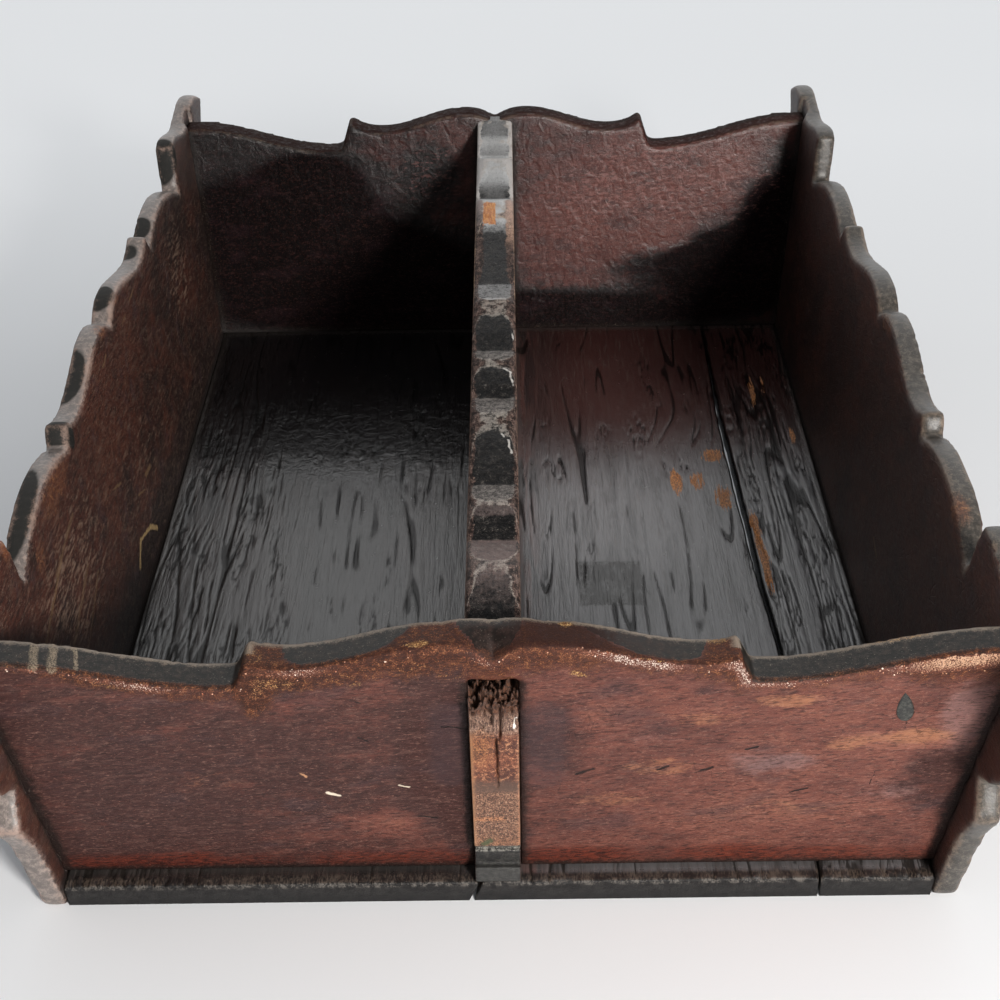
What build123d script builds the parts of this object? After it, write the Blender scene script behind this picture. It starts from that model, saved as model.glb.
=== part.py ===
from build123d import *
import os
from math import cos, radians, tan

# An open wooden tray of two compartments. X runs across it, Y from front to
# back and Z up, in millimetres. The origin is under the middle of the floor.

os.makedirs("parts", exist_ok=True)

# Floor: three boards side by side, with open seams between them.
floor_width = 200.0
floor_length = 287.0
floor_thickness = 5.8
left_seam = -4.2
right_seam_front = 75.0
right_seam_back = 73.4
seam_gap = 1.0
floor_clearance = 0.15

# Sides: thin boards that lean outwards and run past the end panels.
side_thickness = 6.2
side_lean = 5.0

# End panels: thicker boards that lean outwards and stand on the floor, a
# little in from its edge, with their ends housed in grooves in the sides.
end_thickness = 9.0
end_lean = 11.0
ledge = 5.2
housing_depth = 1.6
housing_clearance = 0.1

# Divider: one upright board, with a tenon through a slot in each end panel.
divider_thickness = 11.9
tenon_thickness = 10.4
tenon_top = 69.5
tenon_proud = 3.2
slot_headroom = 2.0
slot_clearance = 0.1
shoulder_clearance = 0.1

# Foot of the divider's end, each height above the one before it: a flat face
# that stands on the floor, a bead and a hollow under the tenon.
foot_rise = 4.4
bead_rise = 4.0
hollow_rise = 3.3
bead_inset = 1.6
hollow_inset = 3.0

# Bow of an end panel's top edge: distance from the middle, then height.
end_cusp_height = 78.4
end_lobe = 10.5
end_lobe_height = 81.6
end_cove = 37.0
end_cove_height = 75.8
end_point = 50.5
back_point_height = 79.2
front_point_height = 76.6
end_step = 53.5
end_low = 61.0
end_low_height = 69.8
end_corner_rise = 24.0
end_corner_bulge = 1.0
end_corner_height = 77.6

# Bow of a side's top edge: distance from the middle, then height.
side_cusp_height = 76.0
side_lobe = 12.0
side_lobe_height = 80.6
side_cove = 38.0
side_cove_height = 75.4
side_point = 56.5
side_point_height = 78.0
side_step = 59.5
side_step_height = 72.6
side_swell = 75.0
side_swell_height = 76.6

# Ear of a side: from its tip back towards the middle, then height.
ear_notch = 63.0
ear_notch_height = 68.5
ear_rise = 59.5
ear_rise_height = 83.0
ear_bump = 52.5
ear_bump_height = 83.8
ear_dip = 37.0
ear_dip_height = 80.6
ear_crown = 16.0
ear_crown_height = 83.0
ear_tip_height = 78.5

# End edge of a side: how far it stands out past the floor, then height.
ear_out = 30.0
neck_out = 17.0
neck_height = 65.5
upper_lobe_out = 20.0
upper_lobe_height = 60.0
waist_out = 6.0
waist_height = 41.5
lower_lobe_out = 11.0
lower_lobe_height = 33.0
lip_out = 6.0
lip_height = 24.0
foot_out = 4.4
foot_height = 18.6
toe_out = 0.6

# Scallops along the divider's top edge: each falls away from the middle to a
# valley, then climbs back more steeply. The fall is slow up to a shoulder.
divider_height = 77.6
scallop_depth = 3.0
scallop_rise = 6.0
shoulder_place = 0.45
shoulder_drop = 0.6
divider_valleys = (21.5, 47.0, 85.0, 108.5)

# A small leaf let into the front panel.
leaf_place = 86.0
leaf_height = 58.8
leaf_width = 3.1
leaf_length = 6.2
leaf_depth = 1.2
leaf_cheek = 0.8

# Headless brads: thin wire, set a little below the surface.
brad_diameter = 1.4
brad_bite = 12.0
brad_set = 0.5
side_brads = 4
side_brad_margin = 30.0
divider_brads = 3
divider_brad_margin = 60.0
end_brad_margin = 13.0

# How far the shapes that cut or bound a board run past the whole box.
overrun = 20.0

# Measures that follow from the ones above.
half_width = floor_width / 2
half_length = floor_length / 2
side_slope = tan(radians(side_lean))
end_slope = tan(radians(end_lean))
side_level = side_thickness / cos(radians(side_lean))
slot_top = tenon_top + slot_headroom
foot_top = floor_thickness + foot_rise
bead_top = foot_top + bead_rise
tenon_foot = bead_top + hollow_rise
half_gap = seam_gap / 2
ear_tip = half_length + ear_out
above_all = ear_crown_height + overrun
past_all = ear_tip + overrun


def side_face(z, into=0.0):
    """X of a side's inner face at height z, or of a plane that lies into the board."""
    return half_width + (z - floor_thickness) * side_slope + into / cos(radians(side_lean))


def end_face(z, into=0.0):
    """Y of an end panel's outer face at height z, or of a plane that lies into it."""
    return half_length - ledge + (z - floor_thickness) * end_slope - into / cos(radians(end_lean))


def across(*edges):
    """A solid right across the box, from an outline in Y and Z."""
    return extrude(Plane.YZ * make_face(edges), past_all, both=True)


def along(points):
    """A solid right along the box, from corners in X and Z."""
    return extrude(Plane.XZ * make_face(Polyline(*points, close=True)), past_all, both=True)


def outline(*runs):
    """The edges of a closed outline: a run of two points is a line, a longer one a curve."""
    edges = []
    for run in runs:
        edges.append(Line(*run) if len(run) == 2 else Spline(*run))
    return edges


def both_halves(runs):
    """The given half outline and its mirror image about the middle."""
    mirrored = [[(-s, z) for s, z in run] for run in runs]
    return outline(*runs) + outline(*mirrored)


def side_slab(low, high, near, far):
    """A leaning slab between two depths into the right side, from low to high."""
    return along([
        (side_face(low, near), low),
        (side_face(low, far), low),
        (side_face(high, far), high),
        (side_face(high, near), high),
    ])


def end_slab(low, high, near, far):
    """A leaning slab between two depths into the back panel, from low to high."""
    corners = [
        (end_face(low, near), low),
        (end_face(low, far), low),
        (end_face(high, far), high),
        (end_face(high, near), high),
    ]
    return across(*Polyline(*corners, close=True).edges())


def brad(start, direction, length):
    """One headless brad, from its outer end."""
    return extrude(Plane(origin=start, z_dir=direction) * Circle(brad_diameter / 2), length)


def spaced(count, margin):
    """Even places along the box, the outer ones this far in from the floor's ends."""
    pitch = (floor_length - 2 * margin) / (count - 1)
    return [margin - half_length + n * pitch for n in range(count)]


def to_front(solid):
    """The same solid at the other end of the box."""
    return mirror(solid, about=Plane.XZ)


def to_left(solid):
    """The same solid on the other side of the box."""
    return mirror(solid, about=Plane.YZ)


def make_side():
    """The right side: scalloped top and ends, and a groove for each end panel."""
    notch = ear_tip - ear_notch
    top = [
        [(0, side_cusp_height), (side_lobe, side_lobe_height), (side_cove, side_cove_height),
         (side_point, side_point_height)],
        [(side_point, side_point_height), (side_step, side_step_height)],
        [(side_step, side_step_height), (side_swell, side_swell_height), (notch, ear_notch_height)],
        [(notch, ear_notch_height), (ear_tip - ear_rise, ear_rise_height)],
        [(ear_tip - ear_rise, ear_rise_height), (ear_tip - ear_bump, ear_bump_height),
         (ear_tip - ear_dip, ear_dip_height), (ear_tip - ear_crown, ear_crown_height),
         (ear_tip, ear_tip_height)],
    ]
    end = [
        [(ear_tip, ear_tip_height), (half_length + neck_out, neck_height)],
        [(half_length + neck_out, neck_height), (half_length + upper_lobe_out, upper_lobe_height),
         (half_length + waist_out, waist_height)],
        [(half_length + waist_out, waist_height),
         (half_length + lower_lobe_out, lower_lobe_height)],
        [(half_length + lower_lobe_out, lower_lobe_height), (half_length + lip_out, lip_height)],
        [(half_length + lip_out, lip_height), (half_length + foot_out, foot_height)],
        [(half_length + foot_out, foot_height), (half_length + toe_out, 0)],
        [(half_length + toe_out, 0), (0, 0)],
    ]
    board = across(*both_halves(top + end)) & side_slab(0, above_all, 0, side_thickness)
    groove = end_slab(floor_thickness, above_all, -housing_clearance, end_thickness + housing_clearance)
    groove &= side_slab(floor_thickness, above_all, -side_thickness, housing_depth + housing_clearance)
    return board - groove - to_front(groove)


def make_end(point_height):
    """An end panel, at the back: bowed top, ends cut to the sides' lean and a slot for the tenon."""
    low, reach = floor_thickness, side_face(end_corner_height, housing_depth)
    bow = [
        [(0, end_cusp_height), (end_lobe, end_lobe_height), (end_cove, end_cove_height),
         (end_point, point_height)],
        [(end_point, point_height), (end_step, end_low_height)],
        [(end_step, end_low_height), (end_low, end_low_height),
         (reach - end_corner_rise, (end_low_height + end_corner_height) / 2 + end_corner_bulge),
         (reach, end_corner_height)],
        [(reach, end_corner_height), (side_face(low, housing_depth), low)],
        [(side_face(low, housing_depth), low), (0, low)],
    ]
    board = extrude(Plane.XZ * make_face(both_halves(bow)), past_all, both=True)
    board &= end_slab(low, above_all, 0, end_thickness)
    half_slot = tenon_thickness / 2 + slot_clearance
    slot = along([(-half_slot, 0), (half_slot, 0), (half_slot, slot_top), (-half_slot, slot_top)])
    return board - slot


def scallop_runs(end):
    """Half of the divider's top edge, out to where it meets the end panel."""
    crest, runs = 0.0, []
    bottom = divider_height - scallop_depth
    for valley in divider_valleys:
        shoulder = crest + shoulder_place * (valley - crest)
        runs.append([(crest, divider_height), (shoulder, divider_height - shoulder_drop), (valley, bottom)])
        runs.append([(valley, bottom), (valley + scallop_rise, divider_height)])
        crest = valley + scallop_rise
    runs.append([(crest, divider_height), (end, divider_height)])
    return runs


def make_divider():
    """The divider: scalloped top, shoulders against the panels and a tenon at each end."""
    into = end_thickness + shoulder_clearance
    low, shoulder_top = floor_thickness, end_face(divider_height, into)
    runs = scallop_runs(shoulder_top)
    runs += [
        [(shoulder_top, divider_height), (end_face(low, into), low)],
        [(end_face(low, into), low), (0, low)],
    ]
    body = extrude(Plane.YZ * make_face(both_halves(runs)), divider_thickness / 2, both=True)
    tenon = [
        [(0, tenon_top), (end_face(tenon_top, -tenon_proud), tenon_top)],
        [(end_face(tenon_top, -tenon_proud), tenon_top),
         (end_face(tenon_foot, -tenon_proud), tenon_foot)],
        [(end_face(tenon_foot, -tenon_proud), tenon_foot), (half_length - hollow_inset, bead_top)],
        [(half_length - hollow_inset, bead_top), (half_length - bead_inset, bead_top)],
        [(half_length - bead_inset, bead_top), (half_length - bead_inset, foot_top)],
        [(half_length - bead_inset, foot_top), (half_length, foot_top)],
        [(half_length, foot_top), (half_length, low)],
        [(half_length, low), (0, low)],
    ]
    tongue = extrude(Plane.YZ * make_face(both_halves(tenon)), tenon_thickness / 2, both=True)
    return body + tongue


def floor_board(left_front, right_front, left_back, right_back):
    """One floor board, between two edges that are given at the front and the back."""
    plan = Polyline((left_front, -half_length), (right_front, -half_length),
                    (right_back, half_length), (left_back, half_length), close=True)
    board = extrude(make_face(plan), floor_thickness)
    edge, under = side_face(floor_thickness, -floor_clearance), side_face(0, -floor_clearance)
    return board & along([(-under, 0), (under, 0), (edge, floor_thickness), (-edge, floor_thickness)])


def make_leaf():
    """The leaf: a pointed drop, set flush in the front panel's outer face."""
    radius = leaf_width / 2
    tip = leaf_height + leaf_length - radius
    cheek = leaf_cheek * radius
    right = Spline((leaf_place, tip), (leaf_place + cheek, leaf_height + radius),
                   (leaf_place + radius, leaf_height))
    left = Spline((leaf_place, tip), (leaf_place - cheek, leaf_height + radius),
                  (leaf_place - radius, leaf_height))
    round_end = ThreePointArc((leaf_place + radius, leaf_height), (leaf_place, leaf_height - radius),
                              (leaf_place - radius, leaf_height))
    drop = extrude(Plane.XZ * make_face([right, round_end, left]), past_all, both=True)
    return drop & to_front(end_slab(0, above_all, 0, leaf_depth))


def make_side_brads():
    """Brads through the right side into the floor's edge."""
    height = floor_thickness / 2
    outer = side_face(height, side_thickness) - brad_set
    places = spaced(side_brads, side_brad_margin)
    return [brad((outer, y, height), (-1, 0, 0), side_level + brad_bite) for y in places]


def make_end_brads():
    """Brads up through each floor board into the back panel's lower edge."""
    y = end_face(floor_thickness, end_thickness / 2)
    places = (
        (left_seam - half_width) / 2,
        (left_seam + right_seam_front) / 2,
        half_width - end_brad_margin,
    )
    length = floor_thickness + brad_bite - brad_set
    return [brad((x, y, brad_set), (0, 0, 1), length) for x in places]


def make_divider_brads():
    """Brads up through the middle floor board into the divider."""
    length = floor_thickness + brad_bite - brad_set
    return [brad((0, y, brad_set), (0, 0, 1), length) for y in spaced(divider_brads, divider_brad_margin)]


def drill(board, *groups):
    """The board with a hole for every brad that goes into it, open to its outside."""
    for group in groups:
        for pin in group:
            board -= pin
    return board


side_brads_right = make_side_brads()
side_brads_left = [to_left(pin) for pin in side_brads_right]
end_brads_back = make_end_brads()
end_brads_front = [to_front(pin) for pin in end_brads_back]
middle_brads = make_divider_brads()
floor_brads = (side_brads_right, side_brads_left, end_brads_back, end_brads_front, middle_brads)

side = make_side()
leaf = make_leaf()

parts = {
    "side_panel_right": drill(side, side_brads_right),
    "side_panel_left": drill(to_left(side), side_brads_left),
    "end_panel_back": drill(make_end(back_point_height), end_brads_back),
    "end_panel_front": drill(to_front(make_end(front_point_height)), end_brads_front) - leaf,
    "divider": drill(make_divider(), middle_brads),
    "floor_board_left": drill(
        floor_board(-half_width, left_seam - half_gap, -half_width, left_seam - half_gap), *floor_brads),
    "floor_board_middle": drill(
        floor_board(left_seam + half_gap, right_seam_front - half_gap,
                    left_seam + half_gap, right_seam_back - half_gap), *floor_brads),
    "floor_board_right": drill(
        floor_board(right_seam_front + half_gap, half_width,
                    right_seam_back + half_gap, half_width), *floor_brads),
    "leaf_inlay": leaf,
    "side_brads_right": Compound(children=side_brads_right),
    "side_brads_left": Compound(children=side_brads_left),
    "end_brads_back": Compound(children=end_brads_back),
    "end_brads_front": Compound(children=end_brads_front),
    "divider_brads": Compound(children=middle_brads),
}

for name, shape in parts.items():
    export_step(shape, f"parts/{name}.step")
    print(name, [round(v, 2) for v in shape.bounding_box().size])
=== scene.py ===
from math import cos, pi, radians, sin, tan

import bmesh
import bpy
import numpy as np
from mathutils import Matrix, Vector, bvhtree, kdtree, noise


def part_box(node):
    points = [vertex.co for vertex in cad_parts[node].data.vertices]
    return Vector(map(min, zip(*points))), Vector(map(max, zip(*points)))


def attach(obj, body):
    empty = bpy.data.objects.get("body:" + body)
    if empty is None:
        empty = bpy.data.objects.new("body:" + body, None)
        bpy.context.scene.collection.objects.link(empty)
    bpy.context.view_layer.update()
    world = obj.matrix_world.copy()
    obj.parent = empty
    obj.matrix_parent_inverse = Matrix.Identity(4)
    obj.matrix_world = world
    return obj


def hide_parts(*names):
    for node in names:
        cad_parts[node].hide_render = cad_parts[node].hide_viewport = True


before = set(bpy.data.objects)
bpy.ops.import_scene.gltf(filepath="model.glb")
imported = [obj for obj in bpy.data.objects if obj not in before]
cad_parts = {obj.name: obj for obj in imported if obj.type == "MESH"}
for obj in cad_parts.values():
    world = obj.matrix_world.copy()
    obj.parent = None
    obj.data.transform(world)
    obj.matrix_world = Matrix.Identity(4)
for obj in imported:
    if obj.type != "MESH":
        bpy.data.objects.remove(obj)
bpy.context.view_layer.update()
scene = bpy.context.scene
mm = 0.001

# The boards' own sizes, in millimetres, read from the frame.
floorNodes = ["floor_board_left", "floor_board_middle", "floor_board_right"]
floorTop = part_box("floor_board_left")[1].z / mm
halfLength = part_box("floor_board_left")[1].y / mm
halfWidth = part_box("floor_board_right")[1].x / mm
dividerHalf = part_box("divider")[1].x / mm
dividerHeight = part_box("divider")[1].z / mm
ledge = 5.2
footLine = halfLength - ledge   # where the end panels' outer faces meet the floor
endThickness = 9.0
sideLean = radians(5)
endLean = radians(11)
boardFacing = {  # which way the broad faces of each board look
    "side_panel_right": (cos(sideLean), 0, -sin(sideLean)),
    "side_panel_left": (-cos(sideLean), 0, -sin(sideLean)),
    "end_panel_back": (0, cos(endLean), -sin(endLean)),
    "end_panel_front": (0, -cos(endLean), -sin(endLean)),
    "divider": (1, 0, 0),
}
woodNodes = list(boardFacing) + floorNodes
print("frame loaded")


def addNode(tree, kind, sockets=None, **settings):
    # a new node in any kind of node tree, with its settings made and its sockets set or wired
    made = tree.nodes.new(kind)
    for key, value in settings.items():
        setattr(made, key, value)
    for key, value in (sockets or {}).items():
        if isinstance(value, bpy.types.NodeSocket):
            tree.links.new(value, made.inputs[key])
        else:
            made.inputs[key].default_value = value
    return made


def linked(name, data):
    # a new object in the scene
    obj = bpy.data.objects.new(name, data)
    scene.collection.objects.link(obj)
    return obj


cameraLook = {
    "place": (4.95, -421.03, 292.53),
    "down": 33.27,
    "left": 0.584,
    "roll": -1.137,
    "lens": 61.2,
}


def makeCamera(look):
    yaw, pitch, roll = radians(-look["left"]), radians(look["down"]), radians(look["roll"])
    ahead = Vector((sin(yaw) * cos(pitch), cos(yaw) * cos(pitch), -sin(pitch)))
    level = Vector((cos(yaw), -sin(yaw), 0))
    upright = level.cross(ahead)
    right = cos(roll) * level + sin(roll) * upright
    up = -sin(roll) * level + cos(roll) * upright
    data = bpy.data.cameras.new("camera")
    data.lens = look["lens"]
    data.sensor_width = 36
    camera = linked("camera", data)
    turn = Matrix((right, up, -ahead)).transposed().to_4x4()
    camera.matrix_world = Matrix.Translation(Vector(look["place"]) * mm) @ turn
    scene.camera = camera


stageLook = {
    "half": 2.0,
    "colour": (0.80, 0.81, 0.83, 1),
    "roughness": 0.7,
    "glow": (0.96, 0.98, 1, 1),
    "paler": (-0.15, 0.33),        # from where to where along the table its glow grows
    "palest": 0.5,                 # and how strong it gets
    "worldColour": (0.92, 0.96, 1.0, 1),
    "worldStrength": 0.34,
    "wallColour": (1, 1, 1, 1),
    "wallWay": (0, 0.86, 0.5),     # where the white wall stands that shows in the lacquer
    "wallEdge": (0.60, 0.90),      # how near to that way its light starts, and is full
    "brightest": 1.15,             # how bright it is there
    "dimmest": 0.22,               # how bright the rest of the room shows in it
    "aim": (0, 0, 0.04),           # what all the lamps point at
    "keyPlace": (0.36, -0.79, 0.42),
    "keySize": 0.16,
    "keyPower": 10.5,
    "keyColour": (1.0, 0.97, 0.93),
    # low strips of light for the far sides: place, width, height, power
    "fills": (
        ((0.1, 1.3, 0.16), 1.2, 0.2, 6.0),
        ((-1.3, 0.25, 0.12), 1.0, 0.12, 5.0),
        ((1.4, 0.3, 0.12), 1.0, 0.12, 3.0),
    ),
}


def makeTable(look):
    half = look["half"]
    corners = [(-half, -half, 0), (half, -half, 0), (half, half, 0), (-half, half, 0)]
    mesh = bpy.data.meshes.new("table")
    mesh.from_pydata(corners, [], [(0, 1, 2, 3)])
    table = linked("table", mesh)
    paint = bpy.data.materials.new("pale table")
    paint.use_nodes = True
    tree = paint.node_tree
    shader = tree.nodes["Principled BSDF"]
    shader.inputs["Base Color"].default_value = look["colour"]
    shader.inputs["Roughness"].default_value = look["roughness"]
    # the far part of the table looks paler to the camera, and lights nothing
    glow = addNode(tree, "ShaderNodeEmission", {"Color": look["glow"]}).outputs[0]
    place = addNode(tree, "ShaderNodeTexCoord").outputs["Object"]
    along = addNode(tree, "ShaderNodeSeparateXYZ", {0: place}).outputs["Y"]
    near, far = look["paler"]
    paler = addNode(tree, "ShaderNodeMapRange", {
        "Value": along, "From Min": near, "From Max": far, "To Min": 0.0, "To Max": look["palest"],
    }).outputs[0]
    seen = addNode(tree, "ShaderNodeLightPath").outputs["Is Camera Ray"]
    share = addNode(tree, "ShaderNodeMath", {0: paler, 1: seen}, operation="MULTIPLY").outputs[0]
    both = addNode(tree, "ShaderNodeMixShader", {0: share, 1: shader.outputs[0], 2: glow}).outputs[0]
    tree.links.new(both, tree.nodes["Material Output"].inputs[0])
    mesh.materials.append(paint)


def makeWorld(look):
    # soft light for the wood, a bright wall for the lacquer's gleam, and plain white for the camera
    world = bpy.data.worlds.new("studio")
    scene.world = world
    world.use_nodes = True
    tree = world.node_tree
    tree.nodes.clear()

    def light(colour, strength):
        return addNode(tree, "ShaderNodeBackground", {"Color": colour, "Strength": strength}).outputs[0]

    rays = addNode(tree, "ShaderNodeLightPath").outputs
    way = addNode(tree, "ShaderNodeTexCoord").outputs["Generated"]
    toWall = addNode(tree, "ShaderNodeVectorMath", {0: way, 1: look["wallWay"]}, operation="DOT_PRODUCT")
    start, full = look["wallEdge"]
    shine = addNode(tree, "ShaderNodeMapRange", {
        "Value": toWall.outputs["Value"], "From Min": start, "From Max": full,
        "To Min": look["dimmest"], "To Max": look["brightest"],
    }, interpolation_type="SMOOTHSTEP").outputs[0]
    glossy = addNode(tree, "ShaderNodeMixShader", {
        0: rays["Is Glossy Ray"], 1: light(look["worldColour"], look["worldStrength"]),
        2: light(look["wallColour"], shine),
    }).outputs[0]
    seen = addNode(tree, "ShaderNodeMixShader", {
        0: rays["Is Camera Ray"], 1: glossy, 2: light((1, 1, 1, 1), 1),
    }).outputs[0]
    addNode(tree, "ShaderNodeOutputWorld", {0: seen})


def addLamp(name, shape, place, power, wide, high, look):
    lamp = bpy.data.lights.new(name, "AREA")
    lamp.shape = shape
    lamp.size, lamp.size_y = wide, high
    lamp.energy = power
    obj = linked(name, lamp)
    obj.location = place
    obj.rotation_euler = (Vector(look["aim"]) - obj.location).to_track_quat("-Z", "Y").to_euler()
    return obj


def makeLamps(look):
    size = look["keySize"]
    key = addLamp("softbox", "DISK", look["keyPlace"], look["keyPower"], size, size, look)
    key.data.color = look["keyColour"]
    for place, wide, high, power in look["fills"]:
        fill = addLamp("strip", "RECTANGLE", place, power, wide, high, look)
        fill.visible_camera = fill.visible_glossy = False


makeCamera(cameraLook)
makeTable(stageLook)
makeWorld(stageLook)
makeLamps(stageLook)
scene.view_settings.view_transform = "Standard"
print("camera and stage made")


def tint(red, green, blue, share=1):
    # a colour given as it looks on a screen, 0 to 255, and how much of it a stroke lays on
    def linear(value):
        level = value / 255
        return level / 12.92 if level < 0.04045 else ((level + 0.055) / 1.055) ** 2.4
    return (linear(red), linear(green), linear(blue), share)


class Finish:
    # one material, and the nodes that make it, with places in millimetres
    def __init__(self, name):
        self.material = bpy.data.materials.new(name)
        self.material.use_nodes = True
        self.tree = self.material.node_tree
        self.tree.nodes.clear()
        own = self.add("ShaderNodeTexCoord").outputs["Object"]
        self.place = self.vector("MULTIPLY", own, (1 / mm, 1 / mm, 1 / mm))
        self.grainPlace = self.place

    def add(self, kind, sockets=None, **settings):
        return addNode(self.tree, kind, sockets, **settings)

    def lean(self, tilt, letter):
        # the grain climbs along the board: the textures that follow are sheared, the strokes aren't
        along = self.add("ShaderNodeCombineXYZ", {2: self.axis(letter)}).outputs[0]
        climb = self.vector("MULTIPLY", along, (0, 0, -tilt))
        self.grainPlace = self.vector("ADD", self.place, climb)

    def vector(self, how, a, b):
        return self.add("ShaderNodeVectorMath", {0: a, 1: b}, operation=how).outputs[0]

    def sum(self, how, a, b=0.0, c=0.0):
        return self.add("ShaderNodeMath", {0: a, 1: b, 2: c}, operation=how).outputs[0]

    def most(self, *values):
        top = values[0]
        for value in values[1:]:
            top = self.sum("MAXIMUM", top, value)
        return top

    def times(self, value, *others):
        for other in others:
            value = self.sum("MULTIPLY", value, other)
        return value

    def plus(self, value, *uneven):
        # a value made uneven by textures that swing about a half, each given with its amount
        for texture, amount in zip(uneven[::2], uneven[1::2]):
            swing = self.sum("MULTIPLY", self.sum("SUBTRACT", texture, 0.5), amount)
            value = self.sum("ADD", value, swing)
        return value

    def axis(self, letter):
        return self.add("ShaderNodeSeparateXYZ", {0: self.place}).outputs[letter]

    def awayFrom(self, letter, place):
        return self.sum("ABSOLUTE", self.sum("SUBTRACT", self.axis(letter), place))

    def noise(self, size, stretch=(1, 1, 1), detail=3, rough=0.5, wander=0.0, shift=0):
        scale = tuple(1 / (size * s) for s in stretch)
        spot = self.vector("MULTIPLY", self.grainPlace, scale)
        spot = self.vector("ADD", spot, (shift, shift * 0.7, shift * 0.3))
        return self.add("ShaderNodeTexNoise", {
            "Vector": spot, "Scale": 1.0, "Detail": detail, "Roughness": rough, "Distortion": wander,
        }).outputs[0]

    def cracks(self, size, stretch=(1, 1, 1), wobble=0.35):
        scale = tuple(1 / (size * s) for s in stretch)
        bend = self.add("ShaderNodeTexNoise", {
            "Vector": self.place, "Scale": 0.9 / size, "Detail": 2.0,
        }).outputs[1]
        spot = self.vector("MULTIPLY", self.place, scale)
        spot = self.vector("ADD", spot, self.vector("MULTIPLY", bend, (wobble, wobble, wobble)))
        return self.add("ShaderNodeTexVoronoi", {"Vector": spot, "Scale": 1.0},
                        feature="DISTANCE_TO_EDGE").outputs["Distance"]

    def stroke(self, start, end, half):
        # 1 along a line between two places, in millimetres, and 0 past its half width
        spot = self.wavering()
        run = Vector(end) - Vector(start)
        from0 = self.vector("SUBTRACT", spot, start)
        along = self.add("ShaderNodeVectorMath", {
            0: from0, 1: run / run.length_squared,
        }, operation="DOT_PRODUCT")
        share = self.add("ShaderNodeClamp", {"Value": along.outputs["Value"]}).outputs[0]
        foot = self.add("ShaderNodeVectorMath", {
            0: tuple(run), "Scale": share,
        }, operation="SCALE").outputs[0]
        away = self.add("ShaderNodeVectorMath", {0: from0, 1: foot}, operation="DISTANCE").outputs["Value"]
        return self.step(away, half * 0.5, half * 1.2, 1, 0)

    def wavering(self):
        if not hasattr(self, "bent"):
            broad = self.add("ShaderNodeTexNoise", {
                "Vector": self.place, "Scale": 0.4, "Detail": 3.0,
            }).outputs[1]
            bend = self.vector("MULTIPLY", self.vector("SUBTRACT", broad, (0.5, 0.5, 0.5)), (1.5, 1.5, 1.5))
            self.bent = self.vector("ADD", self.place, bend)
        return self.bent

    def mark(self, name):
        return self.add("ShaderNodeAttribute", attribute_name=name).outputs["Fac"]

    def step(self, value, low, high, first=0.0, last=1.0):
        return self.add("ShaderNodeMapRange", {
            "Value": value, "From Min": low, "From Max": high, "To Min": first, "To Max": last,
        }, interpolation_type="SMOOTHSTEP").outputs[0]

    def mix(self, share, a, b):
        # sockets 0, 6 and 7 are a colour mix's factor and its two colours, and output 2 its result
        return self.add("ShaderNodeMix", {0: share, 6: a, 7: b}, data_type="RGBA").outputs[2]

    def blend(self, share, a, b):
        # the same for plain values
        return self.add("ShaderNodeMix", {0: share, 2: a, 3: b}, data_type="FLOAT").outputs[0]

    def close(self, colour, rough, height, reach=0.25, level=0.5, swell=None, swellReach=1.0):
        bump = self.add("ShaderNodeBump", {"Height": height, "Distance": reach * mm, "Strength": 1.0})
        if swell is not None:
            under = self.add("ShaderNodeBump", {
                "Height": swell, "Distance": swellReach * mm, "Strength": 1.0,
            })
            self.tree.links.new(under.outputs[0], bump.inputs["Normal"])
        shader = self.add("ShaderNodeBsdfPrincipled", {
            "Base Color": colour, "Roughness": rough, "Specular IOR Level": level,
            "Normal": bump.outputs[0],
        })
        self.add("ShaderNodeOutputMaterial", {0: shader.outputs[0]})
        return self.material


boardLook = {
    "long": (4.5, 1, 1),       # how much longer the grain's streaks are than wide
    "tilt": 0.05,              # how much the grain climbs along the board
    "lumps": 0.0,              # how lumpy the varnish lies, in millimetres
    "lumpSize": (6.0, (1.8, 1, 1)),
    "cool": tint(60, 38, 35),
    "warm": tint(98, 56, 46),
    "hot": tint(138, 80, 50),
    "hotShare": 0.45,
    "mottle": 0.3,             # how much the stain differs from patch to patch
    "violet": tint(60, 44, 46),
    "mauve": tint(122, 96, 94),
    "tan": tint(156, 106, 76),
    "line": tint(36, 20, 18),
    "lineShare": 0.55,
    "pale": tint(150, 110, 92),
    "paleShare": 0.5,
    "lean": ("X", -110, 110),  # along which the colour turns from cool to warm
    "leanAmount": 0.16,
    "crackAndJoinDark": tint(22, 15, 13),
    "bareDeep": tint(58, 29, 20),
    "bareMid": tint(106, 60, 40),
    "bareLight": tint(184, 132, 96),
    "ebony": tint(23, 22, 20),
    "ebonyWorn": tint(54, 48, 44),
    "deep": tint(42, 25, 22),
    "deepShare": 0.8,
    "arris": tint(142, 128, 114),
    "arrisShare": 0.8,
    "crustDeep": tint(92, 50, 38),
    "crustPale": tint(240, 222, 208),
    "gloss": 0.40,
    "level": 0.5,
    "dull": 0.6,               # how much of that is left on the darkest stain
    "ebonyGloss": 0.38,
    "crackleShare": 0.25,
    "relief": 0.14,
    "strokes": (),             # start, end, half width, colour, depth, how speckled
}


def shorter(long, share):
    # the same direction of grain, with shorter streaks
    return tuple(1 if stretch == 1 else stretch * share for stretch in long)


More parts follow.
